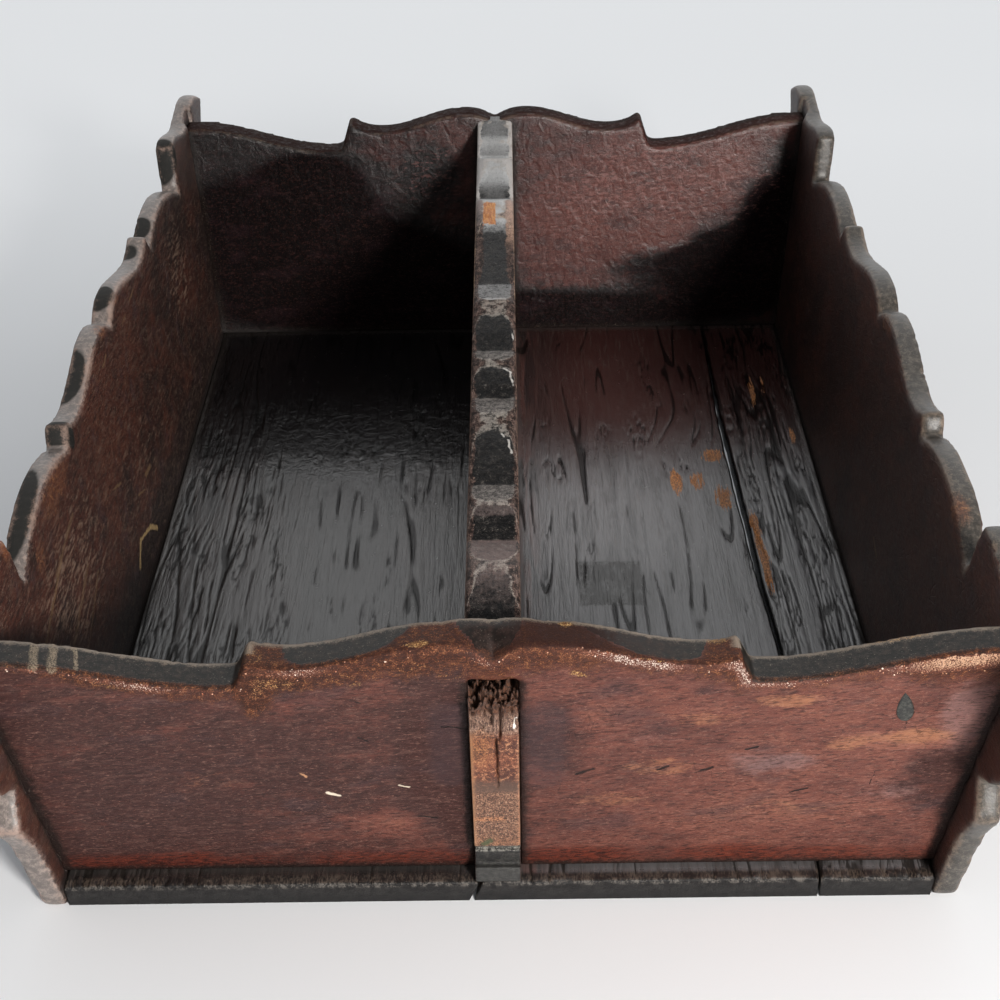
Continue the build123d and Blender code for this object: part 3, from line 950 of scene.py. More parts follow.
sideLook = wearLook | {
    "voxel": 0.95,
    "seed": 21,
    "softReach": 2.6,
    "rounds": 26,
    "arrisReach": 2.0,
}
leftSideLook = sideLook | {
    "seed": 26,
    "bareSpots": (
        (-106.5, -56, 79.5, 4, 4, 4, 0.8),
        (-106, -76, 72, 2.5, 14, 7, 0.45),
        (-107, -9, 80, 3, 5, 4, 0.5),
        (-107, 10, 80, 3, 4, 4, 0.4),
        (-107, -114, 82, 4, 5, 5, 0.9),
        (-106, -98, 66, 2.5, 5, 5, 0.4),
    ),
    "warmSpots": (
        (-104, -20, 62, 12, 60, 20, 0.10),
        (-103, 92, 44, 12, 22, 12, 0.14),
        (-101, 0, 8, 12, 150, 12, -0.25),
    ),
    "fleckSpots": (
        (-104, -84, 46, 12, 40, 24, 1.0),
        (-103, 84, 52, 12, 22, 18, 0.9),
        (-102, -10, 34, 12, 40, 22, 0.45),
    ),
    # dark ovals on the rim's lobes that face the camera: painted shade
    "deepSpots": (
        (-111, 114, 79, 5, 6.5, 9, 3),
        (-111, 67, 76, 4.2, 6, 6, 2.4),
        (-110.5, 48.8, 76, 3, 4.5, 5, 1.3),
        (-110.8, 9.7, 80, 4, 6, 6, 2.6),
        (-111.6, -31, 77, 4.2, 11, 7, 3),
        (-109.5, -56.1, 77, 6, 3.6, 8, 3.5),
        (-111.2, -92, 74, 4.4, 17, 9, 3),
    ),
}
rightSideLook = sideLook | {
    "bareSpots": (
        (106.5, -96, 76, 4, 7, 6, 0.55),
        (107, -62, 79, 3, 6, 4, 0.4),
        (106.5, -10, 78, 3, 9, 3, 0.35),
    ),
}


def makeSides():
    straw = tint(176, 148, 104, 0.95)
    dull = tint(118, 92, 66, 0.75)
    leftStrokes = [
        ((-100.8, -6.4, 12.4), (-101.2, -12, 16.5), 1.0, straw, 0.3, 0.25),
        ((-101.2, -12, 16.5), (-101.4, -24, 20), 0.7, straw, 0.3, 0.25),
        ((-101.4, -24, 20), (-100.9, -30.5, 15.2), 0.95, straw, 0.3, 0.25),
        ((-105.9, 29.4, 72.8), (-105.8, 21.9, 72.2), 0.35, dull, 0.2, 0.5),
        ((-105.8, 15.1, 71.8), (-105.7, 9.9, 71.3), 0.3, dull, 0.2, 0.5),
        ((-105.9, -11.9, 72.8), (-105.8, -16.9, 72.2), 0.5, dull, 0.2, 0.5),
        ((-102, 2, 28.5), (-102.2, -4, 29.5), 0.9, dull, 0.2, 0.5),
        ((-102, -8, 27), (-102.2, -16, 30), 0.4, dull, 0.2, 0.5),
        ((-103, -28, 42), (-103.2, -36, 45), 0.5, dull, 0.2, 0.5),
        ((-104, -84, 58), (-104, -112, 50), 0.7, dull, 0.2, 0.5),
        ((-103, -70, 44), (-103, -100, 36), 0.9, tint(118, 92, 66, 0.5), 0.2, 0.5),
        ((-102.6, -64, 38), (-102.4, -92, 27), 0.6, tint(118, 92, 66, 0.6), 0.2, 0.5),
        ((-104.6, -70, 60), (-104.4, -92, 57), 0.8, tint(118, 92, 66, 0.5), 0.2, 0.5),
    ]
    rightStrokes = [
        ((102, -41.6, 29.4), (101.9, -47.5, 27.6), 0.7, dull, 0.2, 0.5),
        ((102.6, -20, 33), (102.4, -27, 31), 0.3, tint(118, 92, 66, 0.5), 0.2, 0.5),
    ]
    stain = dict(
        long=(1, 7, 1), tilt=0, lean=("Y", 150, -150), leanAmount=0.08, relief=0.2, gloss=0.44,
        hotShare=0.5, paleShare=0.7, lineShare=0.75, arrisShare=0.75,
        warm=tint(74, 40, 31), hot=tint(112, 74, 54), line=tint(24, 15, 14),
        bareDeep=tint(96, 50, 32), bareMid=tint(140, 84, 50), bareLight=tint(196, 150, 88),
    )
    # the left rim's ebony tones are pale grey, a painted reflection on the rim's tops; its deep tone paints
    # the shade on the lobes that face the camera
    left = dict(
        cool=tint(35, 23, 21), pale=tint(136, 112, 96), deep=tint(24, 24, 22), deepShare=0.97,
        ebony=tint(100, 92, 88), ebonyWorn=tint(146, 133, 126), arris=tint(150, 126, 114),
    )
    right = dict(
        cool=tint(32, 20, 19), pale=tint(96, 74, 60),
        ebony=tint(52, 48, 44), ebonyWorn=tint(88, 82, 75), arris=tint(120, 104, 90),
    )
    for name, look, strokes, tones in (("left", leftSideLook, leftStrokes, left),
                                       ("right", rightSideLook, rightStrokes, right)):
        node = "side_panel_" + name
        obj = denseBoard(shapes[node], name + "Side", look["voxel"])
        ageBoard(obj, node, look)
        finish = woodFinish("stained " + name + " side", strokes=strokes, **(stain | tones))
        placePiece(obj, [node], finish)


makeFrontPanel(frontLook)
print("front panel made")
makeBackPanel(backLook)
print("back panel made")
makeSides()
print("sides made")


dividerLook = {
    "rowStep": 0.5,            # how far apart the rows stand along the board
    "topColumns": 38,
    "sideRows": (0, 0.25, 0.6, 1.1, 1.8, 2.8, 4.2, 6.5, 10, 15, 22, 32, 44, 58),   # below the top
    "cut": 5.0,                # how deep in the end panels the board and its tenons are parted
    "crown": 77.3,             # the worn round of the top, through which the scallops are cut
    "crownDrop": 1.7,
    "crownSharp": 4.5,
    "uneven": 0.30,
    "chipDepth": 0.7,
    # along the top, from front to back: place, then height of the scallops
    "scallops": (
        (-145, 74.0), (-139, 74.6), (-133, 76.0), (-127, 76.9), (-118, 77.5), (-112, 76.2), (-106, 74.7),
        (-101, 75.9), (-97, 76.8), (-93.5, 77.5), (-88, 76.1), (-82, 74.5), (-74, 75.8), (-64, 77.0),
        (-53.3, 77.5), (-47, 76.0), (-41, 74.5), (-36, 75.9), (-31, 76.9), (-26, 77.5), (-20, 76.1),
        (-15.5, 74.6), (-8, 76.1), (2.5, 77.5), (10, 77.4), (16, 76.0), (22, 74.9), (26, 74.8),
        (40, 75.4), (52, 75.9), (60, 76.6), (66, 77.2), (80.3, 77.2), (83, 76.0), (86.5, 74.6),
        (92, 76.0), (100, 76.9), (108, 77.3), (114, 77.4), (117, 76.4), (120, 75.0), (124, 75.9),
        (128, 76.8), (131, 77.6), (137, 78.2), (143, 79.4), (150, 79.4),
    ),
    # how bleached the lacquer is there, and where it is rough and painted light grey as a painted
    # reflection
    "bleach": (
        (-140, 0.25), (-134, 0.3), (-126, 0.45), (-118, 0.75), (-110, 0.75), (-106, 0.7), (-105, 0.0),
        (-99.5, 0.0), (-98, 0.5), (-93.5, 0.55), (-92, 0.1), (-80, 0.0), (9, 0.0), (10.5, 0.9), (12, 0.5),
        (24, 0.5), (26, 0.0), (50, 0.0), (60, 0.5), (66, 0.8), (80, 0.95), (86, 0.6), (87, 0.3),
        (92, 0.4), (97, 0.65), (106, 0.9), (119, 1.0), (120.5, 0.75), (122, 0.5), (127, 0.6), (129, 0.7),
        (132, 0.6), (134, 0.45), (148, 0.45),
    ),
    "paintedGleam": (
        (-118, 0), (-117, 0.3), (-108, 0.4), (-106, 0), (-94, 0), (-93, 0.8), (-83, 0.85), (-81.5, 0),
        (-54, 0), (-53, 0.9), (-42, 0.9), (-40.5, 0), (-26, 0), (-25, 0.9), (-16.5, 0.9), (-15, 0),
        (140, 0),
    ),
    # where the worn ground shows from edge to edge
    "worn": (
        (-150, 0), (1, 0), (3, 0.85), (9, 0.85), (10.5, 0), (58, 0), (64, 0.3), (78, 0.25), (80, 0),
        (150, 0),
    ),
    # lines that catch the light: where from, where to, half as wide
    "glints": (
        ((3.4, -3.0, 75.5), (4.9, -8.0, 75.8), 0.30), ((4.9, -8.0, 75.8), (5.0, -13.5, 75.4), 0.30),
        ((-2.0, -17.5, 75.2), (5.0, -17.8, 75.2), 0.28), ((2.6, -29.5, 77.0), (4.2, -31.5, 76.6), 0.35),
        ((4.2, -31.5, 76.6), (5.0, -36.5, 75.6), 0.35), ((3.6, -65.5, 76.8), (4.4, -70.5, 76.2), 0.35),
        ((2.0, -62.5, 77.0), (2.8, -64.0, 76.9), 0.25), ((-5.2, 114.2, 77.3), (5.2, 114.2, 77.3), 0.45),
        ((-5.0, 80.8, 77.1), (5.0, 80.6, 77.1), 0.25), ((-4.6, 10.4, 77.3), (3.6, 10.4, 77.3), 0.3),
    ),
    "patch": (-1.6, 70.5, 2.0, 8.6),    # a bare place on top: across, along, and how far it reaches
}


def dividerProfile(look):
    # the height of the scallops along the middle of the divider, in millimetres
    places = np.arange(-150, 150.1, 0.25)
    heights = between(look["scallops"], places)
    return places, np.convolve(np.pad(heights, 2, "edge"), np.ones(5) / 5, "valid")


def reachAt(z, look):
    # how far from the middle the board is parted inside the leaning end panels
    return footLine - look["cut"] / cos(endLean) + (z - floorTop) * tan(endLean)


def loftDivider(look):
    places, heights = dividerProfile(look)
    half = dividerHalf
    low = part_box("divider")[0].z / mm
    rows = int(2 * reachAt(dividerHeight, look) / look["rowStep"])
    stations = np.linspace(-1, 1, rows + 1)
    across = np.sin(np.linspace(-pi / 2, pi / 2, look["topColumns"]) * 0.92) / sin(pi / 2 * 0.92) * half
    drops = np.array(look["sideRows"][1:])
    points, marks = [], {"flat": [], "ridge": [], "edge": [], "run": []}

    def uneven(spot, size, seed):
        return noise.noise(Vector(spot) / size + Vector((seed, seed, seed)))

    for s in stations:
        y = s * reachAt(dividerHeight, look)
        for _ in range(3):
            y = s * reachAt(np.interp(y, places, heights), look)
        base = np.interp(y, places, heights)
        rear = smooth(y, 118, 133)
        crown = max(look["crown"], base + 0.3 * rear)
        ring = []
        for x in across:
            roof = crown - look["crownDrop"] * (1 - 0.6 * rear) * (abs(x) / half) ** look["crownSharp"]
            roof += look["uneven"] * (uneven((x * 0.2, y, 0), 7, 3.1) + 0.6 * uneven((x, y, 0), 2.1, 5.7))
            gap = roof - base
            top = min(base, roof) - 0.12 * np.exp(-abs(gap) / 0.3)
            toSide = half - abs(x)
            top -= 0.5 * max(0, 0.7 - toSide) ** 2 / 0.49
            chip = max(0, uneven((x, y, 0), 3.0, 9.3) - 0.42)
            top -= chip * look["chipDepth"] * 2 * np.exp(-(toSide / 1.4) ** 2)
            top += 0.08 * uneven((x, y, 0), 1.1, 2.2) + 0.15 * uneven((x, y * 0.5, 0), 4.0, 8.8)
            ring.append((x, s * reachAt(top, look), top))
            marks["flat"].append(smooth(gap, -0.25, 0.2) * (1 - np.interp(y, *zip(*look["worn"]))))
            marks["ridge"].append(np.exp(-(gap / 0.22) ** 2))
            marks["edge"].append(np.exp(-(toSide / 0.6) ** 2))
            marks["run"].append(1.0)
        for side, start in ((1, ring[-1]), (-1, ring[0])):
            wall = []
            for drop in drops:
                z = start[2] - drop * (start[2] - low) / (drops[-1] + 8)
                bulge = 0.06 * uneven((0, y, z), 5, side + 11)
                bulge -= 0.25 * max(0, uneven((0, y, z), 4, side + 17) - 0.4)
                bulge *= min(1, (s + 1) * 40, (1 - s) * 40)
                wall.append((side * (half + min(0, bulge)), s * reachAt(z, look), z))
                marks["flat"].append(0.0)
                marks["ridge"].append(0.0)
                marks["edge"].append(np.exp(-(start[2] - z) / 0.5))
                marks["run"].append(max(0.0, 1 - (start[2] - z) / 7))
            wall.append((side * half, s * reachAt(low, look), low))
            for values in marks.values():
                values.append(0.0)
            ring += wall
        points += ring
    columns, depth = len(across), len(drops) + 1
    size = columns + 2 * depth
    order = list(range(columns + depth)) + list(range(size - 1, columns + depth - 1, -1))
    faces = []
    for row in range(len(stations) - 1):
        for k in range(size):
            a, b = order[k] + row * size, order[(k + 1) % size] + row * size
            faces.append((a, b, b + size, a + size))
    faces.append(order[::-1])
    faces.append([k + size * (len(stations) - 1) for k in order])
    mesh = bpy.data.meshes.new("dividerBoard")
    mesh.from_pydata(np.array(points) * mm, [], faces)
    turnOut(mesh)
    for name, values in marks.items():
        writeMark(mesh, name, values)
    y = np.array(points)[:, 1]
    writeMark(mesh, "bleach", between(look["bleach"], y))
    writeMark(mesh, "paintedGleam", between(look["paintedGleam"], y))
    return linked("dividerBoard", mesh)


def dividerFinish(look):
    f = Finish("worn divider lacquer with painted gleam")
    long = (1, 8, 1)
    grain = f.noise(0.45, long, detail=6, rough=0.68, wander=0.6)
    patchy = f.noise(1.5, (1, 1.3, 1), detail=6, rough=0.70, shift=6)
    wide = f.noise(7, detail=4, rough=0.6, shift=12)
    fine = f.noise(0.3, (1, 1.2, 1), detail=3, rough=0.65, shift=2)
    flat, run = f.mark("flat"), f.mark("run")
    nearly = f.step(f.axis("Y"), -110, 60)
    lacquer = f.mix(f.step(f.plus(patchy, fine, 0.8), 0.46, 0.76), tint(13, 12, 12), tint(42, 38, 36))
    crazed = f.times(f.step(f.cracks(1.5, wobble=0.7), 0.0, 0.07, 1, 0), f.step(patchy, 0.48, 0.60))
    lacquer = f.mix(f.times(crazed, 0.25), lacquer, tint(118, 110, 104))
    dusted = f.step(f.plus(fine, patchy, 0.6), 0.62, 0.74)
    lacquer = f.mix(f.times(dusted, 0.6), lacquer, tint(140, 134, 126))
    # the bleached lacquer grows whiter toward the back, where the top faces the bright wall: painted
    # reflection over the bleaching
    pale = f.mix(nearly, tint(116, 94, 88), tint(214, 213, 212))
    streaked = f.times(f.step(f.plus(grain, patchy, 0.9), 0.46, 0.34, 0, 0.7), f.blend(nearly, 1, 0.3))
    pale = f.mix(streaked, pale, tint(62, 48, 45))
    far = f.step(f.axis("Y"), 74, 86)
    uneven = f.times(f.sum("SUBTRACT", f.plus(patchy, grain, 0.5), 0.5), f.blend(far, 0.6, 0.22))
    bleach = f.step(f.sum("ADD", f.mark("bleach"), uneven), 0.25, 0.9)
    lacquer = f.mix(f.times(bleach, f.blend(far, 0.85, 0.95)), lacquer, pale)
    # near the back the middle of the top is painted grey: painted reflection
    inner = f.times(far, f.step(f.plus(f.sum("ABSOLUTE", f.axis("X")), wide, 3), 4.4, 1.8))
    lacquer = f.mix(f.times(inner, 0.35), lacquer, tint(126, 125, 124))
    # where the scallops tilt back, light grey rough bands are painted on: a painted reflection of the
    # bright wall
    greyish = f.mix(f.step(f.plus(fine, patchy, 0.9), 0.38, 0.66), tint(46, 42, 40), tint(152, 144, 138))
    lacquer = f.mix(f.step(f.plus(f.mark("paintedGleam"), patchy, 0.9), 0.3, 0.7), lacquer, greyish)
    brown = f.mix(f.step(f.plus(grain, patchy, 0.9), 0.36, 0.62), tint(36, 27, 25), tint(96, 77, 71))
    brown = f.mix(f.times(f.step(f.plus(fine, patchy, 0.5), 0.56, 0.68), 0.7), brown, tint(172, 150, 136))
    brown = f.mix(f.step(f.plus(patchy, fine, 0.9), 0.50, 0.38, 0, 0.85), brown, tint(24, 17, 15))
    # toward the back the worn brown is painted paler, near white beyond 90 mm: painted reflection on the
    # slopes that face the wall
    brown = f.mix(f.times(f.step(f.plus(f.axis("Y"), patchy, 30), 60, 84), 0.8), brown, tint(172, 154, 149))
    brown = f.mix(f.times(f.step(f.axis("Y"), 78, 90), 0.8), brown, tint(206, 202, 198))
    warmEdge = f.times(f.step(f.axis("Y"), 46, 58), f.step(f.axis("Y"), 84, 76))
    warmEdge = f.times(f.step(f.axis("X"), 2.2, 4.2), warmEdge)
    warmEdge = f.times(warmEdge, f.step(f.plus(fine, patchy, 0.8), 0.36, 0.56, 0.2, 0.75))
    brown = f.mix(warmEdge, brown, tint(206, 168, 146))
    narrow = f.step(f.awayFrom("Y", 46), 22, 12, 0, 1.3)
    border = f.sum("ADD", f.sum("ABSOLUTE", f.axis("X")), narrow)
    border = f.step(f.plus(border, wide, 3.0, patchy, 2.4), 3.9, 5.3)
    kept = f.step(f.plus(f.sum("MULTIPLY_ADD", border, -0.75, flat), patchy, 0.8), 0.3, 0.6)
    colour = f.mix(kept, brown, lacquer)
    side = f.mix(f.step(f.plus(grain, wide, 0.6), 0.4, 0.66), tint(14, 12, 12), tint(36, 26, 24))
    colour = f.mix(f.step(f.plus(run, patchy, 1.0), 0.20, 0.6, 1, 0), colour, side)
    rubbed = f.step(f.plus(f.mark("ridge"), patchy, 1.6, fine, 1.0), 0.70, 1.15)
    colour = f.mix(f.times(rubbed, 0.7), colour, tint(176, 166, 156))
    chipped = f.step(f.plus(f.mark("edge"), patchy, 1.6, fine, 0.9), 0.7, 1.15)
    colour = f.mix(f.times(chipped, 0.55), colour, tint(134, 108, 94))
    middle = f.step(f.awayFrom("Y", 45), 40, 20)
    gold = f.plus(f.most(f.mark("edge"), f.mark("ridge")), wide, 1.6, fine, 1.6)
    gold = f.times(f.step(gold, 0.85, 1.35), f.times(middle, 0.85))
    colour = f.mix(gold, colour, tint(188, 158, 130))
    across, along, reachX, reachY = look["patch"]
    fromX = f.sum("DIVIDE", f.awayFrom("X", across), reachX)
    fromY = f.sum("DIVIDE", f.awayFrom("Y", along), reachY)
    away = f.most(fromX, fromY)
    patch = f.step(f.plus(away, patchy, 0.7), 0.9, 1.0, 1, 0)
    colour = f.mix(patch, colour, f.mix(f.step(grain, 0.42, 0.6), tint(176, 100, 44), tint(218, 152, 84)))
    rough = f.plus(f.blend(kept, 0.6, 0.30), patchy, 0.35)
    rough = f.most(rough, f.times(f.most(bleach, f.mark("paintedGleam")), 0.5))
    height = f.sum("MULTIPLY_ADD", patchy, 1.0, f.sum("MULTIPLY_ADD", fine, 0.6, f.times(grain, 0.6)))
    height = f.sum("MULTIPLY_ADD", crazed, 0.4, height)
    for start, end, half in look["glints"]:
        colour = f.mix(f.times(f.stroke(start, end, half), 0.8), colour, tint(214, 208, 202))
    return f.close(colour, rough, height, 0.34, f.blend(bleach, 0.08, 0.6))


def cutTenon(sign, look):
    # the end of the divider that comes out through an end panel
    shape = shapes["divider"].copy()
    foot = Vector((0, sign * reachAt(floorTop, look), floorTop)) * mm
    outward = Vector((0, sign * cos(endLean), -sin(endLean)))
    whole = shape.verts[:] + shape.edges[:] + shape.faces[:]
    bmesh.ops.bisect_plane(shape, geom=whole, dist=1e-7, plane_co=foot, plane_no=outward, clear_inner=True)
    bmesh.ops.holes_fill(shape, edges=[e for e in shape.edges if len(e.link_faces) == 1])
    bmesh.ops.triangulate(shape, faces=shape.faces[:])
    shape.verts.index_update()
    return shape


tenonLook = wearLook | {
    "voxel": 0.26,
    "useSize": 4,
    "softReach": 0.7,
    "rounds": 8,
    "chipSize": 1.6,
    "chipDepth": 0.4,
    "chipReach": 0.7,
    "heave": 0.05,
    "rotten": True,
    "tornFrom": 58.5,          # above this height the front tenon is torn and rotten
    "tornDepth": 3.0,
    "tornTop": 5.0,            # how far its top has sunk
    "cleft": (1.3, 54, 69, 0.5, 2.4),   # across, from, to, half width, depth
    "crack": (0.5, 38.5, 56, 0.42, 1.8),
    "foot": (10.2, 14.2, 17.5),         # the heights of its mouldings
}


def tearTenon(look, sign):
    def carve(points):
        x, y, z = (points / mm).T
        proud = np.clip(1 - (endDepth(points, sign) + 3.2) / 6.5, 0, 1)    # 1 at the outer face
        thread = points * (1, 1, 0.35)                                     # torn threads run up the tenon
        rot = noiseAt(thread, 1.5, 61) + 0.7 * noiseAt(thread, 0.6, 62) + 0.25 * noiseAt(points, 0.3, 63)
        torn = np.clip((z - look["tornFrom"] + 2.2 * noiseAt(points, 3.0, 64)) / 5.0, 0, 1)
        push = torn * np.clip(0.25 + 0.8 * rot, 0, 1.2) * look["tornDepth"] * proud
        for across, low, high, half, depth in (look["cleft"], look["crack"]):
            upright = points * (0, 0, 1)
            middle = across + 0.3 * noiseAt(upright, 5.0, 65) + 0.14 * noiseAt(upright, 1.2, 66)
            taper = np.clip((z - low) / (high - low), 0, 1) ** 0.5
            slit = np.clip(1 - np.abs(x - middle) / (half * (0.25 + 0.75 * taper)), 0, 1)
            ends = np.clip((z - low) / 1.5, 0, 1) * np.clip((high - z) / 1.0, 0, 1)
            push = np.maximum(push, slit * ends * depth * proud)
        points[:, 1] -= sign * push * mm
        sunk = np.clip(0.6 + 0.8 * rot - 0.05 * x, 0, 1.2)
        points[:, 2] -= np.clip(z - 65, 0, 4) / 4 * sunk * look["tornTop"] * mm
        return points
    return carve


def tenonMarks(look, sign):
    carve = tearTenon(look, sign)

    def marks(points, away, onRim):
        push = (carve(points.copy())[:, 1] - points[:, 1]) * -sign / mm
        return {"hollow": smooth(push, 1.9, 3.4)}
    return marks


def tenonFinish(name, look):
    f = Finish(name)
    height, across = f.axis("Z"), f.axis("X")
    fine = f.noise(0.28, detail=4, rough=0.7, shift=2)
    mid = f.noise(1.1, (1, 1, 0.8), detail=6, rough=0.7, shift=5)
    wide = f.noise(5, detail=3, shift=8)
    thread = f.noise(0.35, (1, 1, 5), detail=4, rough=0.6, shift=3)
    ragged = f.step(f.plus(mid, wide, 0.8, fine, 0.9), 0.36, 0.64)
    upper = f.mix(ragged, tint(70, 34, 24), tint(128, 74, 50))
    upper = f.mix(f.times(f.step(f.plus(mid, fine, 0.8), 0.56, 0.68), 0.85), upper, tint(196, 142, 104))
    upper = f.mix(f.times(f.step(fine, 0.44, 0.34), 0.8), upper, tint(58, 24, 16))
    lower = f.mix(f.step(f.plus(fine, mid, 0.35), 0.42, 0.58), tint(50, 28, 21), tint(140, 98, 75))
    lower = f.mix(f.times(f.step(f.plus(fine, mid, 0.2), 0.56, 0.66), 0.85), lower, tint(208, 176, 150))
    wavy = f.plus(height, mid, 3.0)
    colour = f.mix(f.step(wavy, 37.0, 39.5), lower, upper)
    band = f.times(f.step(wavy, 36.5, 38.2), f.step(wavy, 39.6, 43.0, 1, 0))
    colour = f.mix(f.times(band, 0.8), colour, tint(84, 64, 54))
    gold = f.times(f.step(wavy, 26.8, 27.4), f.step(wavy, 28.0, 28.8, 1, 0))
    gold = f.times(gold, f.times(f.step(f.plus(fine, mid, 0.8), 0.42, 0.56), f.step(across, 2.4, 1.0)))
    colour = f.mix(f.times(gold, 0.7), colour, tint(196, 132, 90))
    glow = f.times(f.step(wavy, 21.8, 19.4), f.step(f.plus(fine, mid, 0.8), 0.42, 0.6))
    colour = f.mix(f.times(glow, 0.4), colour, tint(170, 116, 82))
    leftArris = f.step(f.plus(across, mid, 2.4, fine, 1.2), -4.2, -5.2)
    colour = f.mix(f.times(leftArris, 0.6), colour, tint(186, 134, 94))
    rightArris = f.step(f.plus(across, mid, 2.0, fine, 1.2), 4.5, 5.3)
    colour = f.mix(f.times(rightArris, 0.55), colour, tint(196, 140, 106))
    amber = f.times(f.step(f.plus(across, mid, 4), 1.5, -2.5), f.step(wavy, 44, 52), 0.7)
    colour = f.mix(f.times(amber, f.step(f.plus(fine, mid, 0.8), 0.44, 0.60)), colour, tint(160, 106, 62))
    torn = f.step(f.plus(wavy, wide, 4), look["tornFrom"] - 3, look["tornFrom"] + 1)
    tornTone = f.mix(f.step(f.plus(thread, fine, 0.9), 0.36, 0.62), tint(54, 34, 28), tint(142, 112, 96))
    fibres = f.step(f.plus(thread, fine, 0.8), 0.60, 0.72)
    tornTone = f.mix(f.times(fibres, 0.8), tornTone, tint(206, 178, 154))
    colour = f.mix(f.times(torn, 0.9), colour, tornTone)
    if look["rotten"]:
        moss = f.stroke((-2.9, -144.0, 18.4), (-1.5, -144.2, 19.6), 0.9)
        colour = f.mix(f.times(moss, 0.8), colour, tint(52, 74, 44))
        glint = f.stroke((4.6, -152.0, 61.6), (4.3, -151.4, 58.6), 0.45)
        colour = f.mix(glint, colour, tint(250, 246, 236))
    colour = f.mix(f.step(f.mark("hollow"), 0.15, 0.75), colour, tint(46, 21, 16))
    if look["rotten"]:
        capTone = f.mix(f.step(f.plus(fine, mid, 0.8), 0.40, 0.66), tint(46, 24, 15), tint(104, 62, 38))
        colour = f.mix(f.times(f.step(f.plus(height, mid, 2.4), 62.4, 64.2), 0.85), colour, capTone)
    flat, bead, hollow = look["foot"]
    foot = f.step(height, hollow - 0.1, hollow + 0.3, 1, 0)
    footTone = f.mix(f.step(mid, 0.36, 0.7), tint(38, 37, 36), tint(66, 65, 62))
    beadTone = f.mix(f.step(f.plus(mid, fine, 0.6), 0.44, 0.68), tint(22, 21, 21), tint(62, 60, 56))
    footTone = f.mix(f.step(height, flat - 0.15, flat + 0.15), footTone, beadTone)
    topTone = f.mix(f.step(f.plus(mid, fine, 0.9), 0.40, 0.64), tint(34, 33, 31), tint(96, 94, 86))
    footTone = f.mix(f.step(height, bead - 0.3, bead), footTone, topTone)
    # a painted highlight along the bead
    light = f.step(f.sum("ABSOLUTE", f.sum("SUBTRACT", height, bead)), 0.15, 0.45, 1, 0)
    light = f.times(light, f.step(f.plus(mid, fine, 0.8), 0.4, 0.6))
    footTone = f.mix(light, footTone, tint(140, 136, 128))
    colour = f.mix(foot, colour, footTone)
    face = f.step(f.sum("ABSOLUTE", across), 4.95, 5.15, 0, 0.65)
    colour = f.mix(face, colour, tint(52, 26, 20))
    rough = f.blend(foot, 0.6, 0.45)
    relief = f.sum("MULTIPLY_ADD", mid, 0.6, fine)
    return f.close(colour, rough, f.sum("MULTIPLY_ADD", f.times(torn, thread), 2.0, relief), 0.22)


def makeDivider(look):
    board = loftDivider(look)
    placePiece(board, ["divider"], dividerFinish(look))
    others = searchTree([n for n in woodNodes if n != "divider"])
    for sign, name in ((-1, "frontTenon"), (1, "backTenon")):
        shape = cutTenon(sign, look)
        own = tenonLook | {"seed": 50 + 3 * sign}
        if sign > 0:
            own |= {"rotten": False, "tornFrom": 66.0, "tornDepth": 0.9, "tornTop": 0.5,
                    "crack": (0.4, 52, 66, 0.3, 1.0)}
        obj = denseBoard(shape, name, own["voxel"])
        carve, marks = tearTenon(own, sign), tenonMarks(own, sign)
        ageBoard(obj, "divider", own, others, shape, carve, marks)
        placePiece(obj, ["divider"], tenonFinish("bare " + name, own))


